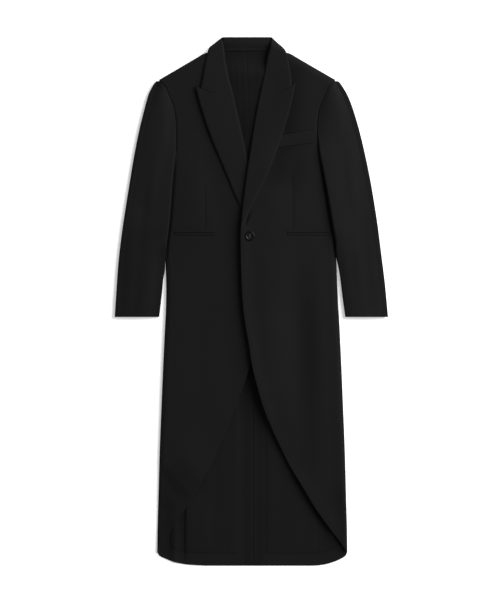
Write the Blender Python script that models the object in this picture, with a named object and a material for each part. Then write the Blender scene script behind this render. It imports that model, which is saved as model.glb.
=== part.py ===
"""Long tailored tailcoat laid flat on its back, front up.

Units: the tables and sizes are millimetres, and objects are in metres. +X is the wearer's left, +Y runs from
the hem to the collar and +Z is up from the surface that the coat lies on. Every cloth piece is a wall whose
outer face is worked out from rows across the garment, each row running from an inner to an outer edge. A
distance out from the coat's centre line is a half width; the line leans a little towards the collar.
"""

import math

import bmesh
import bpy
import numpy as np
from mathutils import Vector

MM = 0.001

# Cloth
SHELL = 2.0  # wool with its canvas or turning
LINING = 1.0
STAND = 1.6
TRIM = 1.2  # welt and pocket lips
SEAM_GAP = 0.3
TRIM_GAP = 0.5  # between a trim piece's underside and the panel it is stitched to
WOOL = (0.012, 0.012, 0.013)
SATIN = (0.009, 0.009, 0.010)
HORN = (0.016, 0.015, 0.015)

# Body
HEM_Y = -657.0
HEM_BEND_Y = -480.0  # below this the rows bend to follow the hem
ARMPIT_Y = 345.0
SHOULDER_BEND_Y = 400.0  # above this the rows bend to follow the shoulder
SHOULDER_TIP_Y = 579.5
SHOULDER_TIP_HALF = 231.0
NECK_HALF = 84.0  # half width at the neck end of the shoulder seam
NECK_TURN_Y = 575.0  # above this the front's inner edge leaves the roll line for the neck
SHOULDER_ROLL = 22.0
SHOULDER_SEAM_Z = 11.0
SIDE_SEAM_HALF = 164.0  # side-back seam at the armpit
SIDE_SEAM_FLARE = 0.014
SIDE_ROLL = 16.0  # how far in from the side fold the front starts to turn down
UNDER_ROLL = 12.0  # the same for the side panel below
MID_SHARE = 0.48  # height of the side fold as a share of the front's height there
ARMHOLE_DIP = 5.0
ARMHOLE_CURVE = 52.0  # height over which the armhole curves in above the armpit
SINK_HALVES = (130.0, 225.0)  # under the sleeves the front sinks between these half widths
SINK_SHARE = 0.3
FLAT_SHARE = 0.7  # share of a front's columns before it turns down

# Back lining
VENT_TOP_Y = -232.0
VENT_FACING = 35.0
HEM_FACING = 24.0
LINING_IN = 20.0  # from the side fold
LINING_SHORT = 8.0  # from the neck

# Collar and lapels
COLLAR_TOP_Y = 692.0
COLLAR_LIFT = 3.1  # the back neck lies on the collar fall
STAND_DEPTH = 32.0
STAND_HALF = 61.0
STAND_CROWN_Z = 12.2
LAPEL_ROLL = 13.0
LAPEL_EDGE_SHARE = 0.6  # the free edge's rise as a share of the roll's
LAPEL_END_Y = 216.0
ROLL_TURN_IN = 1.0  # how far the front stays behind the lapel's fold
GORGE_GAP = 0.5

# Sleeves
SLEEVE_FOLD = 7.0  # half axes of the rounded inner fold
SLEEVE_FOLD_RISE = 4.6
SLEEVE_ROLL = 13.0
SLEEVE_SEAM_Z = 9.0
CROWN_EDGE_SHARE = 0.72  # height where the outer side turns down, as a share of the crown
WRAP_FALL = 26.0  # beyond the body's side the inseam is back on the surface
WRAP_LENGTH = 28.0
WRAP_LEAST = 30.0

# Pockets and button
LIP_WIDTH = 4.0
LIP_LENGTH = 112.0
POCKET_Y = 177.5
POCKET_HALF = 96.0  # half width at a hip pocket's inner end
WELT_CORNERS = ((76, 403), (163, 415), (84, 435), (163, 449))  # inner and outer, low then high
BUTTON_AT = (-4.0, 171.0)
BUTTON_RADIUS = 12.7
BUTTON_THICKNESS = 3.6
BUTTON_HOLE_RADIUS = 1.3
BUTTON_HOLE_SPACING = 2.6
THREAD_SHANK = 0.8

SIGN = {"left": 1.0, "right": -1.0}

# Rows across the garment, given at its outer edge, so that pieces meet at a seam row by row
LEVELS = (
    -657, -640, -589, -536, -484, -431, -379, -327, -274, -222, -169, -117, -65, -41, 0, 40, 75, 108, 150,
    198, 214, 245, 280, 316, 345, 345.7, 360, 385, 415, 450, 485, 515, 540, 558, 569, 576, 579.5,
)
LINING_LEVELS = (
    -657, -589, -484, -379, -274, -246, -232, -169, -65, 40, 150, 245, 345, 415, 485, 540, 560, 579.5,
)


def table(names, *rows):
    """A table with named columns; the first is what the others are read at, smallest first."""
    ordered = sorted(rows)
    return dict(zip(names.split(), np.array(ordered, float).T))


LEAN = table(
    "y shift",
    (690, -12), (577, -11.5), (501, -8.5), (386, -6), (239, -4.3), (135, -3), (30, -1), (-41, 0),
)
BODY_SIDE = table(
    "y half",
    (345, 238), (292, 231.5), (239, 227), (174, 224), (56, 224), (4, 225), (-75, 229),
    (-169, 233.5), (-264, 237.5), (-389, 242.5), (-515, 246), (-610, 248.5), (-657, 249),
)
HEM = table(
    "half y",
    (0, -692), (145, -692), (170, -690), (187, -687), (203, -683), (218, -678), (230, -672), (244, -664),
    (249, -656),
)
SHOULDER = table(
    "half y",
    (0, 659), (70, 656), (84, 651), (102, 647), (120, 643.5), (174, 613.5), (231, 579.5),
)
BACK_ARMHOLE = table(
    "y half",
    (345.7, 164.6), (360, 181), (385, 194), (430, 199), (480, 201), (530, 207), (560, 216), (579.5, 231),
)

# Heights: under is the bottom of the inner fold, crown the top of the sleeve
SLEEVE = table(
    "y inner outer under crown",
    (576, 227, 238.5, 10.5, 16),
    (569, 220, 245, 12.5, 22),
    (564, 215, 248, 13.5, 24),
    (543, 206, 259.5, 14.5, 28),
    (520, 196.5, 268, 14.5, 30),
    (490, 190, 277, 14.5, 31),
    (449, 187, 288, 14.5, 31),
    (400, 188.5, 299, 15.8, 31),
    (344, 197, 310, 15.6, 30),
    (280, 207, 321, 15, 29),
    (200, 218.5, 333.5, 14, 27),
    (150, 226.5, 340, 8, 25),
    (108, 230.5, 345, 2, 23),
    (70, 233, 349, 0, 22),
    (30, 236, 352.5, 0, 21),
    (-41, 243.7, 358, 0, 20),
)

# Each front's own edge up to the break, then the roll line, in place on the leaning coat
FRONT_EDGE = {
    "left": table(
        "y x",
        (-640, 239), (-589, 201), (-536, 164), (-484, 133), (-431, 101), (-379, 75), (-327, 51), (-274, 30),
        (-222, 15), (-169, 2), (-117, -6), (-65, -15), (-12, -22), (56, -26), (161, -28.5), (221, -26),
        (303, -17), (386, -5), (453, 5), (514, 16), (574, 29), (630, 39), (660, 46),
    ),
    "right": table(
        "y x",
        (-640, -237), (-589, -204), (-536, -169), (-484, -137), (-431, -108), (-379, -82), (-327, -59),
        (-274, -40), (-222, -21), (-169, -4), (-117, 7), (-65, 15), (-12, 20), (56, 24), (161, 27),
        (221, 20), (305, 5), (394, -14), (462, -29), (509, -40), (555, -51), (611, -66), (660, -71),
    ),
}
LAPEL_EDGE = {
    "left": table(
        "y x",
        (192, -23), (213, -16), (234, -7), (258, 3), (277, 13), (302, 26), (340, 43), (394, 67), (449, 89),
        (501, 105), (528, 111), (554, 115), (572, 116),
    ),
    "right": table(
        "y x",
        (192, 21), (213, 8), (234, -6), (262, -24), (292, -38), (322, -51), (355, -67), (386, -81),
        (423, -97), (457, -112), (507, -130), (543, -142), (566, -147),
    ),
}
# Where the gorge seam meets the roll line, its notch, and the lapel's tip
GORGE = {
    "left": {"roll": (17.0, 519.0), "notch": (105.0, 562.0), "tip": (116.0, 572.0)},
    "right": {"roll": (-42.0, 519.0), "notch": (-134.0, 561.0), "tip": (-147.0, 566.0)},
}

FRONT_HEIGHT = table(
    "y z",
    (-657, 10), (-500, 13), (-250, 15), (0, 16), (200, 18), (330, 19.5), (450, 21), (590, 22), (660, 22),
)
OVERLAP_LIFT = table(  # the left front lies over the right one
    "y z",
    (-640, 1), (-500, 3), (-300, 6.5), (-150, 8), (345, 8.5), (450, 0), (660, 0),
)
LAPEL_RISE = table("y z", (216, 0.5), (250, 2), (345, 3), (440, 9), (600, 9))

# Soft troughs (negative) and ridges in the fronts: centre, half length, half width, height, turn from +Y
FOLDS = {
    "left": (
        {"x": 146, "y": -130, "length": 210, "width": 26, "height": -2.4, "turn": 2},
        {"x": 190, "y": -160, "length": 230, "width": 20, "height": 1.4, "turn": -1},
        {"x": 108, "y": 350, "length": 75, "width": 24, "height": -3.0, "turn": -14},
        {"x": 215, "y": -560, "length": 90, "width": 24, "height": -1.6, "turn": 24},
    ),
    "right": (
        {"x": -196, "y": -520, "length": 80, "width": 22, "height": -2.4, "turn": 34},
        {"x": -168, "y": -430, "length": 120, "width": 24, "height": 1.4, "turn": 26},
        {"x": -140, "y": -60, "length": 230, "width": 30, "height": -1.4, "turn": 1},
        {"x": -100, "y": 300, "length": 90, "width": 26, "height": -1.6, "turn": 10},
    ),
}

# The collar fall from one gorge seam round the back neck to the other: its fold, how far and high it turns
# over there, and its free edge
COLLAR_FALL = table(
    "step fold_x fold_y fold_z crown_z turn edge_x edge_y edge_z",
    (0.0, -42, 519.6, 21, 33, 13, -133.6, 561.8, 29),
    (1.0, -50.8, 556, 21, 33, 13, -131.5, 579, 29),
    (2.0, -62, 598, 21, 32, 12, -127, 603, 29),
    (3.0, -68.5, 637, 20, 29.5, 11, -121, 628, 28.5),
    (4.0, -72.5, 666, 16, 24, 9, -116, 649, 26),
    (4.6, -76, 683, 12, 16, 8, -113, 659, 20),
    (5.2, -78, 690.3, 9, 9, 7, -105.5, 668, 9),
    (5.8, -74, 691.7, 7, 2, 7, -95, 656, 1.5),
    (6.5, -60, 692, 6.5, 0, 7, -70, 644, 0),
    (7.5, -12, 692, 6.5, 0, 7, -12, 641, 0),
    (8.5, 36, 692, 6.5, 0, 7, 46, 644, 0),
    (9.2, 50, 691.7, 7, 2, 7, 71, 656, 1.5),
    (9.8, 54, 690.3, 9, 9, 7, 81.5, 668, 9),
    (10.4, 52, 683, 12, 16, 8, 89, 659, 20),
    (11.0, 48.5, 666, 16, 24, 9, 92, 649, 26),
    (12.0, 41, 637, 20, 29.5, 11, 97, 628, 28.5),
    (13.0, 33.5, 598, 21, 32, 12, 102, 603, 29),
    (14.0, 24.6, 556, 21, 33, 13, 104.8, 579, 29),
    (15.0, 17, 519.6, 21, 33, 13, 104.6, 563.5, 29),
)


def smooth(share):
    """An ease from 0 to 1 with level ends."""
    share = min(max(share, 0.0), 1.0)
    return share * share * (3 - 2 * share)


def quarter(share):
    """Height share of a quarter ellipse, share 0 at its vertical end and 1 at its level end."""
    share = min(max(share, 0.0), 1.0)
    return math.sqrt(1 - (1 - share) ** 2)


def read(rows, column, at):
    """A named column of a table at a value of its first one, on a curve that never overshoots its points."""
    xs = next(iter(rows.values()))
    ys = rows[column]
    at = min(max(at, xs[0]), xs[-1])
    i = min(int(np.searchsorted(xs, at, side="right")) - 1, len(xs) - 2)
    slopes = np.diff(ys) / np.diff(xs)

    def tangent(k):
        if k == 0 or k == len(slopes):
            return slopes[min(k, len(slopes) - 1)]
        before, after = slopes[k - 1], slopes[k]
        return 0.0 if before * after <= 0 else 2 * before * after / (before + after)

    step = xs[i + 1] - xs[i]
    t = (at - xs[i]) / step
    start, end = tangent(i) * step, tangent(i + 1) * step
    rise = ys[i + 1] - ys[i]
    return float(ys[i] + t * (start + t * (3 * rise - 2 * start - end + t * (start + end - 2 * rise))))


def lean(y):
    """How far the centre line is off X = 0."""
    return read(LEAN, "shift", y)


def world_x(side, half, y):
    """The X of a half width on one side."""
    return SIGN[side] * half + lean(y)


def half_of(side, x, y):
    """The half width of an X on one side."""
    return SIGN[side] * (x - lean(y))


def fold_height(side, x, y):
    """What the soft troughs and ridges add to a front's height."""
    total = 0.0
    for fold in FOLDS[side]:
        turn = math.radians(fold["turn"])
        dx, dy = x - fold["x"], y - fold["y"]
        along = dy * math.cos(turn) - dx * math.sin(turn)
        across = dx * math.cos(turn) + dy * math.sin(turn)
        total += fold["height"] * math.exp(-((along / fold["length"]) ** 2) - (across / fold["width"]) ** 2)
    return total


def front_height(side, x, y):
    """Outer height of a front before it turns down at the side, shoulder or armhole."""
    half = half_of(side, x, y)
    start, end = SINK_HALVES
    sunk = SINK_SHARE * smooth((half - start) / (end - start)) * smooth((y + 60) / 200)
    height = read(FRONT_HEIGHT, "z", y) * (1 - sunk)
    if side == "left":
        height += read(OVERLAP_LIFT, "z", y) * (1 - smooth((half - 30) / 90))
    return height + fold_height(side, x, y)


def rounded(reach, rise):
    """A quarter ellipse's reach, cut down where its end would bend tighter than the cloth is thick."""
    return min(reach, rise * rise / (1.2 * SHELL))


def side_mid_z(side, y):
    """Height of the side fold, where the front meets the side panel."""
    half = read(BODY_SIDE, "half", y)
    return MID_SHARE * front_height(side, world_x(side, half - SIDE_ROLL, y), y)


def shoulder_distance(half, y):
    """How far a point lies inside the shoulder line."""
    here = read(SHOULDER, "y", half)
    slope = (read(SHOULDER, "y", half + 4) - read(SHOULDER, "y", half - 4)) / 8
    return (here - y) / math.sqrt(1 + slope * slope)


def front_outer(y):
    """Half width of the front's outer edge: the side fold up to the armpit, then the armhole."""
    if y <= ARMPIT_Y:
        return read(BODY_SIDE, "half", y)
    head_y, head_half = SLEEVE["y"][-1], SLEEVE["inner"][-1]
    beyond = max(y - head_y, 0) / (SHOULDER_TIP_Y - head_y)
    armhole = read(SLEEVE, "inner", y) + (SHOULDER_TIP_HALF - head_half) * beyond - SEAM_GAP
    reach = smooth((y - ARMPIT_Y) / ARMHOLE_CURVE)
    return read(BODY_SIDE, "half", ARMPIT_Y) * (1 - reach) + armhole * reach


def side_seam(y):
    """Half width of the side-back seam."""
    return SIDE_SEAM_HALF + SIDE_SEAM_FLARE * (ARMPIT_Y - y)


def back_outer(level):
    """Half width of the back's outer edge: the side-back seam, then the back armhole."""
    if level > ARMPIT_Y:
        return read(BACK_ARMHOLE, "half", level) - SEAM_GAP
    return side_seam(level) - SEAM_GAP


def collar_lift(half, y):
    """How far the back neck is raised by the collar fall under it."""
    return COLLAR_LIFT * smooth((y - 560) / 76) * (1 - smooth((half - 112) / 40))


def back_raise(half, y):
    """Height of the back's underside: on the surface, raised on the collar and turned up at the shoulder."""
    inside = shoulder_distance(half, y)
    turned = (SHOULDER_SEAM_Z - SEAM_GAP) * (1 - quarter(inside / SHOULDER_ROLL))
    return max(collar_lift(half, y), turned * smooth((half - 80) / 25))


def towards_shoulder(level, top):
    """A row's height away from its outer edge, where the shoulder rises to top."""
    share = smooth((level - SHOULDER_BEND_Y) / (SHOULDER_TIP_Y - SHOULDER_BEND_Y))
    return level + (top - SHOULDER_TIP_Y) * share


def row_height(level, bottom, top):
    """A row's height away from its outer edge, between a point of the hem and one of the shoulder."""
    to_hem = smooth((HEM_BEND_Y - level) / (HEM_BEND_Y - HEM_Y))
    return towards_shoulder(level, top) + (bottom - HEM_Y) * to_hem


def material(name, colour, roughness):
    """A Principled BSDF material."""
    made = bpy.data.materials.new(name)
    made.use_nodes = True
    shader = made.node_tree.nodes["Principled BSDF"]
    shader.inputs["Base Color"].default_value = (*colour, 1)
    shader.inputs["Roughness"].default_value = roughness
    return made


def add_object(name, shape, colour, roughness):
    """A named object from a bmesh, which is freed."""
    mesh = bpy.data.meshes.new(name)
    shape.to_mesh(mesh)
    shape.free()
    mesh.shade_smooth()
    mesh.set_sharp_from_angle(angle=math.radians(40))
    made = bpy.data.objects.new(name, mesh)
    bpy.context.scene.collection.objects.link(made)
    mesh.materials.append(material(name, colour, roughness))
    return made


def normal_at(place, u, v, columns, rows):
    """Unit normal of place(u, v) from small steps inside the grid's own range."""

    def step(values, at):
        small = 1e-4 * (values[-1] - values[0])
        return max(at - small, values[0]), min(at + small, values[-1])

    (u0, u1), (v0, v1) = step(columns, u), step(rows, v)
    across = Vector(place(u1, v)) - Vector(place(u0, v))
    along = Vector(place(u, v1)) - Vector(place(u, v0))
    return across.normalized().cross(along.normalized()).normalized()


def cloth(name, columns, rows, place, wall=SHELL, face_up=True, colour=WOOL, roughness=0.85):
    """A wall of cloth from its outer face: place(u, v) gives the point in mm, u and v from the two lists."""
    grid = bmesh.new()
    across, along = len(columns) - 1, len(rows) - 1
    bmesh.ops.create_grid(grid, x_segments=across, y_segments=along, size=0.5)
    normals = {
        (i, j): normal_at(place, columns[i], rows[j], columns, rows)
        for i in range(across + 1)
        for j in range(along + 1)
    }
    upward = sum(normal.z for normal in normals.values()) > 0
    inward = wall if upward != face_up else -wall
    doubled = bmesh.ops.extrude_face_region(grid, geom=grid.faces[:], use_keep_orig=True)
    inner_verts = {part for part in doubled["geom"] if isinstance(part, bmesh.types.BMVert)}
    for vert in grid.verts:
        i, j = round((vert.co.x + 0.5) * across), round((vert.co.y + 0.5) * along)
        point = Vector(place(columns[i], rows[j]))
        if vert in inner_verts:
            point += inward * normals[i, j]
        vert.co = point * MM
    bmesh.ops.recalc_face_normals(grid, faces=grid.faces)
    if grid.calc_volume(signed=True) < 0:
        bmesh.ops.reverse_faces(grid, faces=grid.faces)
    return add_object(name, grid, colour, roughness)


def build_front(side):
    """A front, from its edge or the lapel's fold out to the side fold, the armhole and the shoulder."""
    neck_y = read(SHOULDER, "y", NECK_HALF)

    def inner_end(level):
        """The row's inner end, which the lapel's fold covers above the break."""
        y = towards_shoulder(level, neck_y)
        inset = (SHELL + SEAM_GAP + ROLL_TURN_IN) * smooth((y - 196) / 17)
        roll_x = read(FRONT_EDGE[side], "x", y) + SIGN[side] * inset
        neck = smooth((y - NECK_TURN_Y) / (neck_y - NECK_TURN_Y))
        return roll_x * (1 - neck) + world_x(side, NECK_HALF, y) * neck, y

    def place(u, level):
        inner_x, inner_y = inner_end(level)
        inner_half = half_of(side, inner_x, inner_y)
        outer_half = front_outer(level)
        seam_z = side_mid_z(side, level)
        roll = min(rounded(SIDE_ROLL, seam_z), 0.6 * (outer_half - inner_half))
        flat_half = outer_half - roll
        if u <= FLAT_SHARE:
            half = inner_half + (flat_half - inner_half) * u / FLAT_SHARE
            turn = 1.0
        else:
            angle = (u - FLAT_SHARE) / (1 - FLAT_SHARE) * math.pi / 2
            half = flat_half + roll * math.sin(angle)
            turn = math.cos(angle)
        mix = (half - inner_half) / (outer_half - inner_half)
        y = inner_y + (level - inner_y) * mix
        follow = smooth((level - 500) / (SHOULDER_TIP_Y - 500))
        y = y * (1 - follow) + (read(SHOULDER, "y", half) - (SHOULDER_TIP_Y - level)) * follow
        x = world_x(side, half, y)
        height = front_height(side, x, y)
        open_edge = smooth((level - ARMPIT_Y) / 45)
        end_z = seam_z * (1 - open_edge) + (height - ARMHOLE_DIP) * open_edge
        z = end_z + (height - end_z) * turn
        inside = shoulder_distance(half, y)
        z = SHOULDER_SEAM_Z + (z - SHOULDER_SEAM_Z) * quarter(inside / SHOULDER_ROLL)
        return x, y, z

    columns = np.concatenate([np.linspace(0, FLAT_SHARE, 9), np.linspace(FLAT_SHARE, 1, 5)[1:]])
    cloth(f"front_{side}", columns, LEVELS[1:], place)


def build_back(side):
    """Half the back, from the centre seam or vent to the side-back seam and the armhole."""
    neck_column = NECK_HALF / SHOULDER_TIP_HALF

    def place(u, level):
        bottom = read(HEM, "y", u * back_outer(HEM_Y))
        top = read(SHOULDER, "y", u * SHOULDER_TIP_HALF)
        y = row_height(level, bottom, top)
        half = SEAM_GAP / 2 + u * (back_outer(level) - SEAM_GAP / 2)
        return world_x(side, half, y), y, back_raise(half, y)

    columns = (0, 0.5 * neck_column, neck_column, 0.55, 0.75, 1)
    cloth(f"back_{side}", columns, LEVELS, place, face_up=False)


def build_side(side):
    """The side panel, from the side-back seam on the surface up to the side fold."""

    def place(u, level):
        outer = read(BODY_SIDE, "half", level)
        seam_z = side_mid_z(side, level) - SEAM_GAP
        roll = rounded(UNDER_ROLL, seam_z)
        flat = outer - roll - side_seam(level)
        if u <= 0.5:
            half = side_seam(level) + flat * u / 0.5
            rise = 0.0
        else:
            angle = (u - 0.5) / 0.5 * math.pi / 2
            half = outer - roll * (1 - math.sin(angle))
            rise = 1 - math.cos(angle)
        y = row_height(level, read(HEM, "y", half), SHOULDER_TIP_Y)
        return world_x(side, half, y), y, rise * seam_z

    columns = np.concatenate([np.linspace(0, 0.5, 4), np.linspace(0.5, 1, 5)[1:]])
    rows = [level for level in LEVELS if level <= ARMPIT_Y]
    cloth(f"side_{side}", columns, rows, place, face_up=False)


def build_lining(side):
    """The back lining, which shows in the neck and between the skirts, short of the hem and the vent."""

    def outer_half(level):
        narrowing = 14 * smooth((HEM_BEND_Y + 20 - level) / 180)
        below = read(BODY_SIDE, "half", level) - LINING_IN - narrowing
        armhole = back_outer(max(level, 390)) - 5 - 9 * smooth((level - 480) / 70)
        above = smooth((level - 320) / 60)
        return below * (1 - above) + armhole * above

    def place(u, level):
        bottom = read(HEM, "y", u * 228) + HEM_FACING
        top = read(SHOULDER, "y", u * 205) - LINING_SHORT - 24 * smooth(u / 0.4)
        y = row_height(level, bottom, top)
        inner = SEAM_GAP / 2 + VENT_FACING * (1 - smooth((level - VENT_TOP_Y + 14) / 14))
        half = inner + u * (outer_half(level) - inner)
        lift = 1.3 * collar_lift(half, y + 20) + 0.2
        return world_x(side, half, y), y, max(lift, back_raise(half, y)) + SHELL + SEAM_GAP

    cloth(
        f"back_lining_{side}", np.linspace(0, 1, 5), LINING_LEVELS, place,
        wall=LINING, face_up=False, colour=SATIN, roughness=0.45,
    )


def wrap_full(y):
    """Half width of the inseam below the armpit, on the surface beyond the body's side."""
    return max(read(BODY_SIDE, "half", y) + WRAP_LENGTH, read(SLEEVE, "inner", y) + WRAP_LEAST)


def wrap_end(y):
    """Half width where the top sleeve's turned-under part ends."""
    reach = min(max((y - 300) / 100, 0), 1)
    return wrap_full(y) * (1 - reach) + (read(SLEEVE, "inner", y) + SLEEVE_FOLD + 1.5) * reach


def wrap_z(half, y):
    """Height of the turned-under part, which falls to the surface beyond the body's side."""
    beyond = (half - read(BODY_SIDE, "half", y)) / WRAP_FALL
    return read(SLEEVE, "under", y) * (1 - smooth(beyond))


def sleeve_levels():
    """The rows that cross a sleeve."""
    return [level for level in LEVELS if SLEEVE["y"][0] <= level <= SLEEVE["y"][-1]]


def build_sleeve_top(side):
    """The top sleeve, from its inseam underneath, round the inner fold and over to the outer seam."""

    def place(u, y):
        inner, outer = read(SLEEVE, "inner", y), read(SLEEVE, "outer", y)
        under, crown = read(SLEEVE, "under", y), read(SLEEVE, "crown", y)
        fold = min(SLEEVE_FOLD, 0.3 * (outer - inner))
        roll = min(SLEEVE_ROLL, 0.4 * (outer - inner))
        over_fold = under + 2 * SLEEVE_FOLD_RISE
        over_roll = max(CROWN_EDGE_SHARE * crown, SLEEVE_SEAM_Z + 3)
        if u < 0:
            half = inner + fold + (wrap_end(y) - inner - fold) * -u
            z = wrap_z(half, y)
        elif u <= 1:
            angle = math.pi * u
            half = inner + fold * (1 - math.sin(angle))
            z = under + SLEEVE_FOLD_RISE * (1 - math.cos(angle))
        elif u <= 2:
            share = u - 1
            half = inner + fold + (outer - roll - inner - fold) * share
            level_line = over_fold + (over_roll - over_fold) * share
            z = level_line + max(crown - (over_fold + over_roll) / 2, 0) * 4 * share * (1 - share)
        else:
            angle = (u - 2) * math.pi / 2
            half = outer - roll * (1 - math.sin(angle))
            z = SLEEVE_SEAM_Z + (over_roll - SLEEVE_SEAM_Z) * math.cos(angle)
        return world_x(side, half, y), y, z

    columns = (-1, -0.66, -0.33, 0, 0.25, 0.5, 0.75, 1, 1.33, 1.66, 2, 2.35, 2.7, 3)
    cloth(f"sleeve_top_{side}", columns, sleeve_levels(), place)


def build_sleeve_under(side):
    """The under sleeve, flat on the surface from the inseam or the back armhole to the outer seam."""

    def inner_edge(y):
        if y > ARMPIT_Y + 0.5:
            return read(BACK_ARMHOLE, "half", y)
        clear = wrap_full(y) + SEAM_GAP
        at_armpit = read(BODY_SIDE, "half", y) + 1
        return clear + (at_armpit - clear) * smooth((y - 316) / (ARMPIT_Y - 316))

    def place(u, y):
        inner, outer = inner_edge(y), read(SLEEVE, "outer", y)
        roll = min(SLEEVE_ROLL, 0.6 * (outer - inner))
        if u <= 1:
            half = inner + (outer - roll - inner) * u
            rise = 0.0
        else:
            angle = (u - 1) * math.pi / 2
            half = outer - roll * (1 - math.sin(angle))
            rise = 1 - math.cos(angle)
        head = 1 - quarter((SHOULDER_TIP_Y - y) / SHOULDER_ROLL)
        return world_x(side, half, y), y, max(head, rise) * (SLEEVE_SEAM_Z - SEAM_GAP)

    columns = (0, 0.33, 0.66, 1, 1.35, 1.7, 2)
    rows = [y + 0.35 if y == ARMPIT_Y else y for y in sleeve_levels()]
    cloth(f"sleeve_under_{side}", columns, rows, place, face_up=False)


def turned_over(across, turn, fold_z, crown_z):
    """Height of a collar or lapel over its fold, at a distance from the fold line."""
    return fold_z + (crown_z - fold_z) * quarter(across / turn)


def across_turn(u, turn, width):
    """Distance from the fold line: column 1 is where the turn ends and column 2 the free edge."""
    if u <= 1:
        return turn * (1 - math.cos(u * math.pi / 2))
    return turn + (width - turn) * (u - 1)


def build_lapel(side):
    """A lapel, folded back along the roll line on to the chest."""
    roll_top, notch, tip = (np.array(GORGE[side][key]) for key in ("roll", "notch", "tip"))
    slope = (notch[1] - roll_top[1]) / (notch[0] - roll_top[0])
    line_tip_y = roll_top[1] + slope * (tip[0] - roll_top[0])
    notch_share = (notch[0] - roll_top[0]) / (tip[0] - roll_top[0])
    clear = SHELL + 2 * SEAM_GAP

    def place(u, v):
        roll_y = LAPEL_END_Y + (roll_top[1] - GORGE_GAP - LAPEL_END_Y) * v
        edge_y = LAPEL_END_Y + (line_tip_y - GORGE_GAP - LAPEL_END_Y) * v
        roll_x = read(FRONT_EDGE[side], "x", roll_y)
        edge_x = read(LAPEL_EDGE[side], "x", edge_y)
        width = abs(edge_x - roll_x)
        turn = min(LAPEL_ROLL, 0.5 * width)
        across = across_turn(u, turn, width)
        share = across / width
        x, y = roll_x + (edge_x - roll_x) * share, roll_y + (edge_y - roll_y) * share
        beyond = max(share - notch_share, 0) / (1 - notch_share)
        y += (tip[1] - line_tip_y) * beyond * smooth((v - 0.85) / 0.15)
        rise = read(LAPEL_RISE, "z", roll_y)
        base = front_height(side, roll_x, roll_y) + clear
        over = front_height(side, x, y) + clear + LAPEL_EDGE_SHARE * rise
        ease = smooth(max(u - 1, 0))
        z = turned_over(across, turn, base - SHELL - 1, base + rise) * (1 - ease) + over * ease
        return x, y, z

    columns = (0, 0.35, 0.7, 1, 1.2, 1.4, 1.6, 1.8, 2)
    cloth(f"lapel_{side}", columns, np.linspace(0, 1, 15), place)


def build_collar_fall():
    """The collar's outer leaf, from one gorge seam round under the back neck to the other."""
    first, last = COLLAR_FALL["step"][0], COLLAR_FALL["step"][-1]

    def place(u, v):
        step = first + (last - first) * v
        here = {name: read(COLLAR_FALL, name, step) for name in COLLAR_FALL if name != "step"}
        fold = (here["fold_x"], here["fold_y"])
        edge = (here["edge_x"], here["edge_y"])
        width = math.dist(fold, edge)
        across = across_turn(u, here["turn"], width)
        x, y = (start + (end - start) * across / width for start, end in zip(fold, edge))
        ease = smooth(max(u - 1, 0))
        z = turned_over(across, here["turn"], here["fold_z"], here["crown_z"]) * (1 - ease)
        return x, y, z + here["edge_z"] * ease

    cloth("collar_fall", (0, 0.4, 0.75, 1, 1.33, 1.66, 2), np.linspace(0, 1, 37), place)


def build_collar_stand():
    """The stand inside the back neck, from the fold down to the neck seam."""

    def place(u, v):
        end = 2 * v - 1
        half = end * (STAND_HALF + 5 * u)
        y = COLLAR_TOP_Y - SEAM_GAP - STAND_DEPTH * u
        bow = 2.6 * (1 - math.sin(math.pi * min(u + 0.15, 1)))
        return half + lean(690), y, STAND_CROWN_Z - bow - 2.2 * end**4

    cloth("collar_stand", np.linspace(0, 1, 5), np.linspace(0, 1, 13), place, wall=STAND)


def build_on_front(name, side, corners, rows):
    """A trim piece on a front, moved out from it: corners are inner and outer, low then high."""
    inner_low, outer_low, inner_high, outer_high = (np.array(corner, float) for corner in corners)

    def place(u, v):
        low = inner_low + (outer_low - inner_low) * u
        high = inner_high + (outer_high - inner_high) * u
        x, y = low + (high - low) * v
        return x, y, front_height(side, x, y) + TRIM_GAP + TRIM

    cloth(name, np.linspace(0, 1, 9), np.linspace(0, 1, rows + 1), place, wall=TRIM)


def build_pockets():
    """The chest welt and each hip pocket's two lips."""
    build_on_front("chest_welt", "left", WELT_CORNERS, 3)
    for side in SIGN:
        for row, name in enumerate(("lower", "upper")):
            y = POCKET_Y - LIP_WIDTH - SEAM_GAP / 2 + row * (LIP_WIDTH + SEAM_GAP)
            inner = world_x(side, POCKET_HALF, y)
            outer = world_x(side, POCKET_HALF + LIP_LENGTH, y)
            corners = ((inner, y), (outer, y), (inner, y + LIP_WIDTH), (outer, y + LIP_WIDTH))
            build_on_front(f"pocket_lip_{name}_{side}", side, corners, 1)


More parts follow.
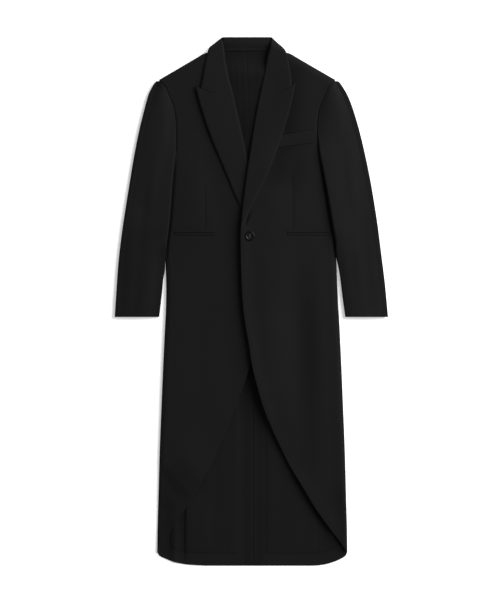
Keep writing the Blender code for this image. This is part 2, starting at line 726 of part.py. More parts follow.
def build_button():
    """The fastened four-hole button, with a rim round a dished middle."""
    x, y = BUTTON_AT
    base = front_height("left", x, y) + THREAD_SHANK
    profile = (  # radius and height, as shares
        (0, 0), (0.72, 0), (1, 0.35), (1, 0.65), (0.92, 1), (0.72, 1), (0.6, 0.62), (0, 0.55),
    )
    disc = bmesh.new()
    verts = [
        disc.verts.new((radius * BUTTON_RADIUS * MM, 0, height * BUTTON_THICKNESS * MM))
        for radius, height in profile
    ]
    edges = [disc.edges.new(pair) for pair in zip(verts, verts[1:])]
    bmesh.ops.spin(
        disc, geom=verts + edges, cent=(0, 0, 0), axis=(0, 0, 1), angle=2 * math.pi, steps=20,
        use_merge=True,
    )
    bmesh.ops.remove_doubles(disc, verts=disc.verts, dist=1e-6)
    bmesh.ops.recalc_face_normals(disc, faces=disc.faces)
    button = add_object("front_button", disc, HORN, 0.25)
    button.location = Vector((x, y, base)) * MM
    holes = bmesh.new()
    radius = BUTTON_HOLE_RADIUS * MM
    for across in (-BUTTON_HOLE_SPACING, BUTTON_HOLE_SPACING):
        for along in (-BUTTON_HOLE_SPACING, BUTTON_HOLE_SPACING):
            made = bmesh.ops.create_cone(
                holes, cap_ends=True, segments=8, radius1=radius, radius2=radius, depth=0.02,
            )
            bmesh.ops.translate(holes, verts=made["verts"], vec=Vector((across, along, 0)) * MM)
    cutter = add_object("button_hole_cutter", holes, HORN, 0.5)
    cutter.location = button.location
    cutter.hide_render = True
    cutter.display_type = "WIRE"
    cut = button.modifiers.new("Holes", "BOOLEAN")
    cut.object = cutter
    cut.operation = "DIFFERENCE"


def main():
    for old in list(bpy.data.objects):
        bpy.data.objects.remove(old)
    for side in SIGN:
        build_back(side)
        build_side(side)
        build_lining(side)
        build_front(side)
        build_sleeve_top(side)
        build_sleeve_under(side)
        build_lapel(side)
    build_collar_fall()
    build_collar_stand()
    build_pockets()
    build_button()


main()
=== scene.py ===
"""Looks of the long tailored tailcoat, laid flat with its front up.

Every table and size is in millimetres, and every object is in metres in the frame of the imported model: +X is
the wearer's left, +Y runs from the hem to the collar and +Z is up from the surface that the coat lies on. A
half width is a distance out from the coat's centre line, which leans a little towards the collar.
"""

from __future__ import annotations

import logging
import math
from collections.abc import Callable, Sequence
from dataclasses import dataclass, field, replace
from enum import Enum
from functools import cached_property
from typing import Generic, TypeVar

import bmesh
import bpy
import numpy as np
from mathutils import Euler, Matrix, Vector

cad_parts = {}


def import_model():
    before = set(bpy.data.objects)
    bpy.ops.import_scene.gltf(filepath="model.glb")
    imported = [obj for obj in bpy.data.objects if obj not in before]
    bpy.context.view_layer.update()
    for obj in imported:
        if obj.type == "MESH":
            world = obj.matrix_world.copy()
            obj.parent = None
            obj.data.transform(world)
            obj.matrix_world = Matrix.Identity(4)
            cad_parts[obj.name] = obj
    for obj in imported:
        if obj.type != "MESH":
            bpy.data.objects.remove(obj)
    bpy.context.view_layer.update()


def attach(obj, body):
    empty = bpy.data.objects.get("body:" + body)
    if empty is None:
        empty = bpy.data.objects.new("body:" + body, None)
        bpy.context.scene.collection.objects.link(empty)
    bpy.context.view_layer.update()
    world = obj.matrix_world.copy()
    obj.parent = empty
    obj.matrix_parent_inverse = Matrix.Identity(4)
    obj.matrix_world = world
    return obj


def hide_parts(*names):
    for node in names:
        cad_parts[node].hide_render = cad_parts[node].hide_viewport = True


LOG = logging.getLogger("tailcoat")
MM = 0.001
ROW_SPACING = 4.0
ARMPIT_STEP = 0.7  # the rows of back and under sleeve change edge within this height
BUTTON_AT = (-4.0, 171.0)

Array = np.ndarray
Points = tuple[Array, Array, Array]
Spot = tuple[float, float]
Value = TypeVar("Value")


class Side(Enum):
    """The wearer's left is +X."""

    LEFT = 1.0
    RIGHT = -1.0

    @property
    def label(self) -> str:
        """The side's name as the nodes spell it."""
        return self.name.lower()


class Grain(Enum):
    """How the weave lies on a piece: upright as on a panel, or along a strip."""

    PANEL = "panel"
    STRIP = "strip"


@dataclass(frozen=True)
class Sided(Generic[Value]):
    """A value for each side of the coat."""

    left: Value
    right: Value

    def __getitem__(self, side: Side) -> Value:
        """The side's own value."""
        return self.left if side is Side.LEFT else self.right


# ---------------------------------------------------------------- curves


def smooth(share: Array) -> Array:
    """An ease from 0 to 1 with level ends."""
    share = np.clip(share, 0.0, 1.0)
    return share * share * (3 - 2 * share)


def ramp(value: Array, start: float, end: float) -> Array:
    """An ease from 0 at start to 1 at end, which may be the lower one."""
    return smooth((value - start) / (end - start))


def quarter(share: Array) -> Array:
    """Height share of a quarter ellipse, share 0 at its vertical end and 1 at its level end."""
    return np.sqrt(1 - (1 - np.clip(share, 0.0, 1.0)) ** 2)


def quarter_turn(share: Array) -> Array:
    """The angle of a quarter turn that starts at share 0 and ends at 1."""
    return np.clip(share, 0, 1) * math.pi / 2


def blend(start: Array, end: Array, share: Array) -> Array:
    """From start at share 0 to end at share 1."""
    return start + (end - start) * share


def bell(offset: Array) -> Array:
    """A soft bump of height 1 around 0."""
    return np.exp(-(offset**2))


def steps(start: float, stop: float, spacing: float = ROW_SPACING) -> Array:
    """Evenly spaced values from start to stop, about one spacing apart."""
    return np.linspace(start, stop, max(2, math.ceil(abs(stop - start) / spacing) + 1))


def joined(*parts: Array) -> Array:
    """Value lists put end to end, each starting where the one before ends."""
    return np.concatenate([parts[0], *(part[1:] for part in parts[1:])])


@dataclass(frozen=True)
class Table:
    """Columns of millimetres, read along the first one on a curve that never overshoots its points."""

    names: str
    rows: tuple[tuple[float, ...], ...]

    @cached_property
    def columns(self) -> dict[str, Array]:
        """Each named column, ordered by the first one."""
        return dict(zip(self.names.split(), np.array(sorted(self.rows), float).T))

    def read(self, column: str, at: Array | float) -> Array:
        """The column's values.

        Args:
            column: A name from names.
            at: Values of the first column.

        Returns:
            One value for each of at, held at the ends outside the table.
        """
        xs = next(iter(self.columns.values()))
        ys = self.columns[column]
        at = np.clip(np.asarray(at, float), xs[0], xs[-1])
        i = np.clip(np.searchsorted(xs, at, side="right") - 1, 0, len(xs) - 2)
        slopes = np.diff(ys) / np.diff(xs)
        before, after = slopes[:-1], slopes[1:]
        same_way = before * after > 0
        total = np.where(same_way, before + after, 1.0)
        inner = np.where(same_way, 2 * before * after / total, 0.0)
        tangents = np.concatenate([slopes[:1], inner, slopes[-1:]])
        step = xs[i + 1] - xs[i]
        t = (at - xs[i]) / step
        start, end = tangents[i] * step, tangents[i + 1] * step
        rise = ys[i + 1] - ys[i]
        return ys[i] + t * (start + t * (3 * rise - 2 * start - end + t * (start + end - 2 * rise)))


def both(names: str, left: tuple, right: tuple) -> Sided[Table]:
    """A table for each side."""
    return Sided(Table(names, left), Table(names, right))


@dataclass(frozen=True)
class Fold:
    """A soft trough (negative height) or ridge: centre, half length, half width, turn from +Y in degrees."""

    x: float
    y: float
    length: float
    width: float
    height: float
    turn: float = 0.0

    def rise(self, x: Array, y: Array) -> Array:
        """What the fold adds to the height at these points.

        Args:
            x: Places across, in mm.
            y: Places along, in mm.

        Returns:
            The heights, in mm.
        """
        sine, cosine = math.sin(math.radians(self.turn)), math.cos(math.radians(self.turn))
        dx, dy = x - self.x, y - self.y
        along, across = dy * cosine - dx * sine, dx * cosine + dy * sine
        return self.height * bell(along / self.length) * bell(across / self.width)


# ---------------------------------------------------------------- the coat's form


@dataclass(frozen=True)
class CoatForm:
    """The lines and heights that the coat's pieces share, as its solids have them."""

    shell: float = 2.0
    seam_gap: float = 0.3
    hem_y: float = -657.0
    hem_bend_y: float = -480.0
    armpit_y: float = 345.0
    shoulder_bend_y: float = 400.0
    shoulder_tip_y: float = 579.5
    shoulder_tip_half: float = 231.0
    neck_half: float = 84.0
    neck_turn_y: float = 575.0
    shoulder_roll: float = 22.0
    shoulder_seam_z: float = 11.0
    side_seam_half: float = 164.0
    side_seam_flare: float = 0.014
    side_roll: float = 16.0
    mid_share: float = 0.48
    armhole_curve: float = 52.0
    sink_halves: Spot = (130.0, 225.0)
    sink_share: float = 0.3
    collar_lift_height: float = 3.1
    corner_at: Spot = (-185.0, -468.0)
    corner_way: Spot = (0.77, 0.64)
    drape_height: float = 0.35
    drape_waves: tuple[tuple[float, ...], ...] = (  # height, length across and along, start
        (1, 31, 210, 0.4), (0.8, 47, -95, 1.9), (0.6, 160, 38, 2.7), (0.5, 17, 61, 5.1),
    )

    lean_line: Table = Table("y shift", (
        (690, -12), (577, -10.8), (501, -6.9), (386, -4.4), (291, -2.9), (239, -2.8), (135, -3), (30, -1),
        (-41, 0),
    ))
    skirt_shift: Table = Table("y shift", ((239, 0), (135, 0.6), (56, 2.1), (-41, 2.3), (-692, 2.3)))
    body_side: Table = Table("y half", (
        (345, 238), (292, 231.5), (239, 227), (174, 224), (56, 224), (4, 225), (-75, 229), (-169, 233.5),
        (-264, 237.5), (-389, 242.5), (-515, 246), (-610, 248.5), (-657, 249),
    ))
    hems: Sided[Table] = both("half y", (
        (0, -692.4), (150, -692.4), (168, -691.9), (187, -689.7), (208, -684.3), (222, -679), (233, -673.8),
        (245, -665.8), (249, -656.4),
    ), (
        (0, -692.4), (120, -692.4), (138, -691.6), (168, -689.7), (198, -684.8), (214, -679.6), (227, -674.3),
        (243, -666.4), (249, -657),
    ))
    shoulder: Table = Table("half y", (
        (0, 659), (70, 657.5), (84, 655), (100, 652), (110, 649.6), (118, 645.8), (133, 636.8), (174, 612.8),
        (231, 579.5),
    ))
    back_armhole: Table = Table("y half", (
        (345.7, 164.6), (360, 181), (385, 194), (430, 199), (480, 201), (530, 207), (560, 216), (579.5, 231),
    ))
    sleeve: Table = Table("y inner outer under crown", (
        (576, 227, 238.5, 10.5, 16), (569, 220, 245, 12.5, 22), (564, 215, 248, 13.5, 24),
        (543, 206, 259.5, 14.5, 28), (520, 196.5, 268, 14.5, 30), (490, 190, 277, 14.5, 31),
        (449, 187, 288, 14.5, 31), (400, 188.5, 299, 15.8, 31), (344, 197, 310, 15.6, 30),
        (280, 207, 321, 15, 29), (200, 218.5, 333.5, 14, 27), (150, 226.5, 340, 8, 25),
        (108, 230.5, 345, 2, 23), (70, 233, 349, 0, 22), (30, 236, 352.5, 0, 21), (-41, 243.7, 358, 0, 20),
    ))
    sleeve_inner_shift: Sided[Table] = both("y half", (
        (570, 0), (527, -5), (488, -8.5), (449, -9.5), (396, -8), (318, -7), (239, -5), (160, -3.5),
        (134, -5.2), (112, -5), (95, -2.6), (82, -1), (56, 0.5), (-41, 1.8),
    ), (
        (570, 0), (527, 2.5), (488, 3), (449, 4.5), (396, 4.5), (318, 1.3), (239, -4), (160, -7.5), (84, -8),
        (56, -4.4), (-41, -2.4),
    ))
    front_level: Table = Table("y z", (
        (-657, 10), (-500, 12.3), (-360, 12.2), (-250, 14.5), (0, 16), (200, 18), (330, 19.5), (450, 21),
        (590, 22), (660, 22),
    ))
    overlap_lift: Table = Table("y z", (
        (-640, 1), (-500, 2.5), (-400, 1), (-330, 1.5), (-274, 4.5), (-222, 8), (-150, 9.6), (230, 9.6),
        (345, 8), (450, 0), (660, 0),
    ))
    edge_curl: Table = Table("y z", (
        (-657, 0.3), (-600, 1.8), (-560, 2.5), (-480, 2.5), (-440, 1), (-405, 0), (-375, 0.7), (-330, 2.2),
        (-285, 3.8), (-240, 4.2), (190, 4.2), (245, 0), (660, 0),
    ))
    edge_curl_width: float = 20.0
    edges: Sided[Table] = both("y x", (
        (-655, 247.5), (-640, 239), (-589, 201), (-536, 164), (-484, 133), (-431, 101), (-379, 75),
        (-327, 51), (-274, 30), (-222, 15), (-169, 2), (-117, -6), (-65, -15), (-12, -22), (56, -26),
        (161, -28.5), (221, -26), (303, -17), (386, -5), (453, 5), (514, 16), (574, 29), (630, 39), (660, 46),
    ), (
        (-655, -247.5), (-640, -237), (-589, -204), (-536, -169), (-484, -137), (-431, -108), (-379, -82),
        (-327, -59), (-274, -40), (-222, -21), (-169, -4), (-117, 7), (-65, 15), (-12, 20), (56, 24),
        (161, 27), (221, 20), (305, 5), (394, -14), (462, -29), (509, -40), (555, -51), (611, -66),
        (660, -71),
    ))
    folds: Sided[tuple[Fold, ...]] = Sided(
        (
            Fold(126, -120, 270, 30, -3.2, 2), Fold(178, -140, 290, 27, 3.0, 0),
            Fold(104, 330, 62, 24, -4.2, -14), Fold(226, -560, 90, 22, -2.4, 8),
            Fold(-13, 212, 15, 4.0, -4.0, -28), Fold(82, 440, 90, 24, -1.4, -18),
            Fold(155, 179, 62, 9, -0.8, 90),
        ),
        (
            Fold(-160, -425, 110, 34, 1.6, 30), Fold(-140, -60, 230, 30, -1.4, 1),
            Fold(-100, 300, 90, 26, -1.6, 10), Fold(-148, 179, 62, 9, -0.8, 90),
        ),
    )

    def lean(self, y: Array | float) -> Array:
        """How far the centre line is off X = 0."""
        return self.lean_line.read("shift", y)

    def world_x(self, side: Side, half: Array | float, y: Array | float) -> Array:
        """The X of a half width of the body on one side."""
        return side.value * half + self.lean(y) + self.skirt_shift.read("shift", y)

    def arm_x(self, side: Side, half: Array | float, y: Array | float) -> Array:
        """The X of a half width of a sleeve."""
        return side.value * half + self.lean(y)

    def half_of(self, side: Side, x: Array, y: Array) -> Array:
        """The half width of an X of the body on one side."""
        return side.value * (x - self.lean(y) - self.skirt_shift.read("shift", y))

    def front_height(self, side: Side, x: Array, y: Array) -> Array:
        """Outer height of a front before it turns down at the side, shoulder or armhole.

        Args:
            side: The side of the coat.
            x: Places across, in mm.
            y: Places along, in mm.

        Returns:
            The heights, in mm.
        """
        half = self.half_of(side, x, y)
        sunk = self.sink_share * ramp(half, *self.sink_halves) * ramp(y, -60, 140)
        height = self.front_level.read("z", y) * (1 - sunk * (1 - 0.65 * ramp(y, 250, 400)))
        if side is Side.LEFT:
            overlap = 1 - smooth((half - 30) / (90 + 80 * ramp(y, -50, 100)))
            reach = self.edge_curl_width + 8 * ramp(y, -380, -440)
            curl = bell((x - self.edges[side].read("x", y)) / reach)
            height = height + self.overlap_lift.read("z", y) * overlap + self.edge_curl.read("z", y) * curl
        else:
            height = height - self.corner_fall(x, y)
        return height + sum(fold.rise(x, y) for fold in self.folds[side])

    def corner_fall(self, x: Array, y: Array) -> Array:
        """How far the right skirt sinks below a slanting fold near its lower corner.

        Args:
            x: Places across, in mm.
            y: Places along, in mm.

        Returns:
            The falls, in mm.
        """
        dx, dy = x - self.corner_at[0], y - self.corner_at[1]
        way_x, way_y = self.corner_way
        first = 3.2 * smooth((-dx * way_x - dy * way_y) / 34) * bell((dy * way_x - dx * way_y - 10) / 95)
        return first + 2.4 * ramp(x, -198, -228) * ramp(y, -505, -545) * ramp(y, -640, -580)

    def rounded(self, reach: float, rise: Array) -> Array:
        """A quarter ellipse's reach, cut down where its end would bend tighter than the cloth is thick."""
        return np.minimum(reach, rise * rise / (1.2 * self.shell))

    def side_mid_z(self, side: Side, y: Array) -> Array:
        """Height of the side fold, where the front meets the side panel."""
        half = self.body_side.read("half", y)
        return self.mid_share * self.front_height(side, self.world_x(side, half - self.side_roll, y), y)

    def shoulder_distance(self, half: Array, y: Array) -> Array:
        """How far a point lies inside the shoulder line."""
        slope = (self.shoulder.read("y", half + 4) - self.shoulder.read("y", half - 4)) / 8
        return (self.shoulder.read("y", half) - y) / np.sqrt(1 + slope * slope)

    def sleeve_inner(self, side: Side, y: Array) -> Array:
        """Half width of a sleeve's inner fold, the armhole seam above the armpit."""
        return self.sleeve.read("inner", y) + self.sleeve_inner_shift[side].read("half", y)

    def front_outer(self, side: Side, y: Array) -> Array:
        """Half width of the front's outer edge: the side fold up to the armpit, then the armhole.

        Args:
            side: The side of the coat.
            y: Places along, in mm.

        Returns:
            The half widths, in mm.
        """
        head_y, head_half = self.sleeve.columns["y"][-1], self.sleeve.columns["inner"][-1]
        beyond = np.maximum(y - head_y, 0) / (self.shoulder_tip_y - head_y)
        armhole = self.sleeve_inner(side, y) + (self.shoulder_tip_half - head_half) * beyond
        below = self.body_side.read("half", np.minimum(y, self.armpit_y))
        reach = ramp(y, self.armpit_y, self.armpit_y + self.armhole_curve)
        return np.where(y <= self.armpit_y, below, blend(below, armhole - self.seam_gap, reach))

    def side_seam(self, y: Array) -> Array:
        """Half width of the side-back seam."""
        return self.side_seam_half + self.side_seam_flare * (self.armpit_y - y)

    def back_outer(self, level: Array) -> Array:
        """Half width of the back's outer edge: the side-back seam, then the back armhole."""
        armhole = self.back_armhole.read("half", level)
        return np.where(level > self.armpit_y, armhole, self.side_seam(level)) - self.seam_gap

    def collar_lift(self, half: Array, y: Array) -> Array:
        """How far the back neck is raised by the collar under it."""
        return self.collar_lift_height * ramp(y, 560, 636) * (1 - ramp(half, 112, 152))

    def back_raise(self, half: Array, y: Array) -> Array:
        """Height of the back's underside: on the surface, raised on the collar, turned up at the shoulder.

        Args:
            half: Half widths, in mm.
            y: Places along, in mm.

        Returns:
            The heights, in mm.
        """
        inside = self.shoulder_distance(half, y)
        turned = (self.shoulder_seam_z - self.seam_gap) * (1 - quarter(inside / self.shoulder_roll))
        return np.maximum(self.collar_lift(half, y), turned * ramp(half, 80, 105))

    def towards_shoulder(self, level: Array, top: Array | float) -> Array:
        """A row's height away from its outer edge, where the shoulder rises to top."""
        share = ramp(level, self.shoulder_bend_y, self.shoulder_tip_y)
        return level + (top - self.shoulder_tip_y) * share

    def row_height(self, level: Array, bottom: Array | float, top: Array | float) -> Array:
        """A row's height away from its outer edge, between a point of the hem and one of the shoulder."""
        to_hem = ramp(level, self.hem_bend_y, self.hem_y)
        return self.towards_shoulder(level, top) + (bottom - self.hem_y) * to_hem

    def drape(self, x: Array, y: Array, z: Array) -> Array:
        """The cloth's slight unevenness, the same in every layer and none on the surface below."""
        waves = sum(size * np.sin(x / across + y / along + at) for size, across, along, at in self.drape_waves)
        return self.drape_height * waves * ramp(z, 4, 14)


# ---------------------------------------------------------------- building cloth


def add_object(name: str, data: bpy.types.ID) -> bpy.types.Object:
    """A new object in the scene.

    Args:
        name: Its name.
        data: Its mesh, lamp or camera.

    Returns:
        The object.
    """
    made = bpy.data.objects.new(name, data)
    bpy.context.scene.collection.objects.link(made)
    return made


@dataclass
class ClothPiece:
    """One piece of cloth that stands for one solid: a wall raised from its outer face.

    The face is a grid whose columns and rows are the values that place takes.
    """

    node: str
    columns: Array
    rows: Array
    place: Callable[[Array, Array], Points]
    wall: float = 2.0
    face_up: bool = True
    grain: Grain = Grain.PANEL
    edge_round: float = 0.7
    round_from: float = 64.0  # degrees; a tight fold inside the cloth turns less and stays as it is
    least_cut: float = 10.5  # a narrow strip is cut at least this wide, to have something to turn in
    slot: str = "wool"
    rests_on: tuple[str, ...] = ("floor",)
    form: CoatForm = field(default_factory=CoatForm)

    def build(self, finish: bpy.types.Material) -> None:
        """Args:
            finish: Its material.
        """
        points = self._points()
        mesh = self._grid_mesh(points)
        made = add_object(f"{self.node}_cloth", mesh)
        mesh.materials.append(finish)
        mesh.shade_smooth()
        self._raise_wall(made)
        width, length, area = self._cut(points)
        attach(made, "root")
        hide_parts(self.node)
        LOG.info("%s: cut %.0f x %.0f mm", self.node, width / MM, length / MM)

    def _points(self) -> Array:
        """The face's points in mm, by row and column."""
        x, y, z = np.broadcast_arrays(*self.place(*np.meshgrid(self.columns, self.rows)))
        return np.stack([x, y, z + self.form.drape(x, y, z)], axis=-1)

    def _grid_mesh(self, points: Array) -> bpy.types.Mesh:
        """A grid bent to the points, with its faces turned out and its weave laid.

        Args:
            points: The face's points, in mm.

        Returns:
            The mesh.
        """
        across, along = len(self.columns) - 1, len(self.rows) - 1
        grid = bmesh.new()
        bmesh.ops.create_grid(grid, x_segments=across, y_segments=along, size=0.5)
        by_u, by_v = np.diff(points, axis=1)[:-1], np.diff(points, axis=0)[:, :-1]
        upward = np.cross(by_u, by_v)[..., 2].sum() > 0
        if upward != self.face_up:
            bmesh.ops.reverse_faces(grid, faces=grid.faces)
        mesh = bpy.data.meshes.new(f"{self.node}_cloth")
        grid.to_mesh(mesh)
        grid.free()
        flat = np.empty(len(mesh.vertices) * 3)
        mesh.vertices.foreach_get("co", flat)
        i = np.rint((flat[0::3] + 0.5) * across).astype(int)
        j = np.rint((flat[1::3] + 0.5) * along).astype(int)
        mesh.vertices.foreach_set("co", (points[j, i] * MM).ravel())
        corners = np.empty(len(mesh.loops), int)
        mesh.loops.foreach_get("vertex_index", corners)
        weave = self._weave(points)[j, i]
        mesh.uv_layers.new(name="weave").data.foreach_set("uv", weave[corners].ravel())
        mesh.update()
        return mesh

    @staticmethod
    def _runs(points: Array, axis: int) -> Array:
        """The lengths of the grid's steps along its rows (axis 1) or columns (axis 0)."""
        return np.linalg.norm(np.diff(points, axis=axis), axis=2)

    def _weave(self, points: Array) -> Array:
        """Each point's place on the flat cloth, in metres.

        Args:
            points: The face's points, in mm.

        Returns:
            Two coordinates for each point.
        """
        arcs = np.pad(self._runs(points, 1).cumsum(axis=1), ((0, 0), (1, 0)))
        if self.grain is Grain.STRIP:
            runs = np.pad(self._runs(points, 0).cumsum(axis=0), ((1, 0), (0, 0)))
            return np.stack([arcs, runs], axis=-1) * MM
        middle = len(self.columns) // 2
        way = np.sign(points[:, -1:, 0] - points[:, :1, 0])
        across = points[:, middle, None, 0] + way * (arcs - arcs[:, middle, None])
        return np.stack([across, points[..., 1]], axis=-1) * MM

    def _cut(self, points: Array) -> tuple[float, float, float]:
        """The flat cut's width, length and area, in metres.

        Args:
            points: The face's points, in mm.

        Returns:
            The width, the length and the area.
        """
        sides = (self._runs(points, axis).sum(axis=axis).max() for axis in (1, 0))
        width, length = (max(float(side), self.least_cut) * MM for side in sides)
        diagonals = points[1:, 1:] - points[:-1, :-1], points[1:, :-1] - points[:-1, 1:]
        area = float(np.linalg.norm(np.cross(*diagonals), axis=2).sum() / 2)
        return width, length, min(area * MM * MM, width * length)

    def _raise_wall(self, made: bpy.types.Object) -> None:
        """Gives the cloth its thickness and rounds its edges.

        Args:
            made: The piece.
        """
        wall = made.modifiers.new("Wall", "SOLIDIFY")
        wall.thickness = self.wall * MM
        wall.offset = -1
        edge = made.modifiers.new("Edge", "BEVEL")
        edge.width = self.edge_round * MM
        edge.segments = 3
        edge.limit_method = "ANGLE"
        edge.angle_limit = math.radians(self.round_from)
        edge.use_clamp_overlap = False
        edge.harden_normals = True


# ---------------------------------------------------------------- finishes


class NodeSketch:
    """Adds nodes to a tree and links them, to keep each finish short."""

    def __init__(self, tree: bpy.types.NodeTree) -> None:
        """Takes the tree to draw in."""
        self.tree = tree

    def feed(self, node: bpy.types.Node, **values: object) -> bpy.types.Node:
        """Sets or links a node's inputs.

        Args:
            node: The node that takes them.
            values: Values or incoming sockets, by input name with _ for a space, or i0, i1 by place.

        Returns:
            The same node.
        """
        for name, value in values.items():
            by_place = name[0] == "i" and name[1:].isdigit()
            socket = node.inputs[int(name[1:]) if by_place else name.replace("_", " ")]
            if isinstance(value, bpy.types.NodeSocket):
                self.tree.links.new(value, socket)
            else:
                socket.default_value = value
        return node

    def add(self, kind: str, **values: object) -> bpy.types.Node:
        """A new node.

        Args:
            kind: The node's type name without the ShaderNode prefix.
            values: The node's own settings, in lower case, and its inputs as feed takes them.

        Returns:
            The node.
        """
        node = self.tree.nodes.new(f"ShaderNode{kind}")
        inputs = {}
        for name, value in values.items():
            if hasattr(node, name):
                setattr(node, name, value)
            else:
                inputs[name] = value
        return self.feed(node, **inputs)

    def math(self, operation: str, *values: object) -> bpy.types.NodeSocket:
        """The result of a Math node."""
        inputs = {f"i{k}": value for k, value in enumerate(values)}
        return self.add("Math", operation=operation, **inputs).outputs[0]

    def vector(self, operation: str, *values: object, output: str = "Vector") -> bpy.types.NodeSocket:
        """The result of a Vector Math node."""
        inputs = {f"i{k}": value for k, value in enumerate(values)}
        return self.add("VectorMath", operation=operation, **inputs).outputs[output]

    def scaled(self, vector: object, scale: object) -> bpy.types.NodeSocket:
        """A vector or colour times a value."""
        return self.add("VectorMath", operation="SCALE", i0=vector, Scale=scale).outputs[0]

    def ease(self, value: object, start: float, end: float) -> bpy.types.NodeSocket:
        """Eases from 0 at start to 1 at end."""
        ends = {"From_Min": start, "From_Max": end}
        return self.add("MapRange", interpolation_type="SMOOTHSTEP", Value=value, **ends).outputs[0]

    def noise(self, place: bpy.types.NodeSocket, scale: float, **values: float) -> bpy.types.NodeSocket:
        """A noise value at a place."""
        return self.add("TexNoise", Vector=place, Scale=scale, **values).outputs[0]

    def relief(self, height: bpy.types.NodeSocket, strength: float, distance: float) -> bpy.types.NodeSocket:
        """The normal that a height gives."""
        return self.add("Bump", Height=height, Strength=strength, Distance=distance).outputs["Normal"]


class Effects:
    """The shader node groups that several finishes share, each with one output value."""

    def __init__(self) -> None:
        """Makes the groups."""
        zero = (0, 0, 0)
        self.twill = self._group(self._twill, "twill_weave", "Height", Place=zero, Rib=0.0008, Slope=2.0)
        # The line mask for seam lines and for the painted shade and painted light on the cloth
        self.seam = self._group(
            self._seam_or_shading_line, "seam_or_painted_shading_line", "Line", Place=zero, From=zero, To=(0, 1, 0), Width=0.001
        )
        self.nap = self._group(self._nap, "nap_tone", "Tone", Place=zero, Amount=0.1)

    def _group(
        self, body: Callable[..., bpy.types.NodeSocket], name: str, output: str, **inputs: object
    ) -> bpy.types.NodeTree:
        """A node group.

        Args:
            body: Takes a sketch and the inputs, and gives the output.
            name: The group's name.
            output: The output's name.
            inputs: Default values by name: a tuple for a vector.

        Returns:
            The group.
        """
        group = bpy.data.node_groups.new(name, "ShaderNodeTree")
        for label, default in inputs.items():
            kind = "NodeSocketVector" if isinstance(default, tuple) else "NodeSocketFloat"
            socket = group.interface.new_socket(label, in_out="INPUT", socket_type=kind)
            socket.default_value = default
        group.interface.new_socket(output, in_out="OUTPUT", socket_type="NodeSocketFloat")
        start, end = group.nodes.new("NodeGroupInput"), group.nodes.new("NodeGroupOutput")
        made = body(NodeSketch(group), *(start.outputs[label] for label in inputs))
        group.links.new(made, end.inputs[output])
        return group

    @staticmethod
    def _twill(
        s: NodeSketch, place: bpy.types.NodeSocket, rib: bpy.types.NodeSocket, slope: bpy.types.NodeSocket
    ) -> bpy.types.NodeSocket:
        """Fine diagonal ribs broken into yarns, from a place on the flat cloth.

        Args:
            s: The group's sketch.
            place: Where the pattern is read.
            rib: Width of a rib.
            slope: How steeply the ribs climb.

        Returns:
            The group's output.
        """
        x, y = s.add("SeparateXYZ", Vector=place).outputs[:2]
        ribs = s.math("DIVIDE", s.math("SUBTRACT", y, s.math("MULTIPLY", x, slope)), rib)
        yarns = s.math("DIVIDE", x, rib)
        waves = [
            s.math("MULTIPLY", s.math("SINE", s.math("MULTIPLY", turns, pace * math.tau)), size)
            for turns, pace, size in ((ribs, 1, 0.3), (yarns, 2, 0.12))
        ]
        fuzz = s.math("MULTIPLY", s.math("SUBTRACT", s.noise(place, 1600.0, Detail=1.0), 0.5), 0.5)
        return s.math("ADD", s.math("ADD", s.math("ADD", *waves), fuzz), 0.5)

    @staticmethod
    def _seam_or_shading_line(
        s: NodeSketch,
        place: bpy.types.NodeSocket,
        start: bpy.types.NodeSocket,
        end: bpy.types.NodeSocket,
        width: bpy.types.NodeSocket,
    ) -> bpy.types.NodeSocket:
        """A line between two points seen from above: 1 on it and 0 a width away.

        Args:
            s: The group's sketch.
            place: Where the pattern is read.
            start: The line's first end.
            end: The line's last end.
            width: How far it fades out.

        Returns:
            The group's output.
        """
        run = s.vector("SUBTRACT", end, start)
        out = s.vector("SUBTRACT", s.vector("MULTIPLY", place, (1, 1, 0)), start)
        dots = [s.vector("DOT_PRODUCT", one, run, output="Value") for one in (out, run)]
        along = s.math("MINIMUM", s.math("MAXIMUM", s.math("DIVIDE", *dots), 0.0), 1.0)
        away = s.vector("LENGTH", s.vector("SUBTRACT", out, s.scaled(run, along)), output="Value")
        return s.ease(s.math("DIVIDE", away, width), 1.0, 0.0)

    @staticmethod
    def _nap(
        s: NodeSketch, place: bpy.types.NodeSocket, amount: bpy.types.NodeSocket
    ) -> bpy.types.NodeSocket:
        """Broad and fine unevenness of the cloth's tone, around 1.

        Args:
            s: The group's sketch.
            place: Where the pattern is read.
            amount: How strong it is.

        Returns:
            The group's output.
        """
        parts = [
            s.math("MULTIPLY", s.noise(place, scale, Detail=2.0), share)
            for scale, share in ((9.0, 0.7), (420.0, 0.6))
        ]
        return s.math("MULTIPLY_ADD", s.math("SUBTRACT", s.math("ADD", *parts), 0.65), amount, 1.0)


def new_finish(name: str, colour: Sequence[float]) -> tuple[bpy.types.Material, NodeSketch, bpy.types.Node]:
    """A material that shows its colour in the viewport, with its sketch and its shader.

    Args:
        name: Its name.
        colour: What it shows in the viewport.

    Returns:
        The material, its sketch and its shader node.
    """
    made = bpy.data.materials.new(name)
    made.use_nodes = True
    made.diffuse_color = (*colour, 1)
    return made, NodeSketch(made.node_tree), made.node_tree.nodes["Principled BSDF"]


@dataclass(frozen=True)
class SeamOrPaintedShading:
    """A seam line on a cloth, or a band of painted shade, seen from above, in mm. Below 0 the shade is painted
    light.
    """

    start: Spot
    end: Spot
    width: float = 1.6
    depth: float = 0.5
    shade: float = 0.45


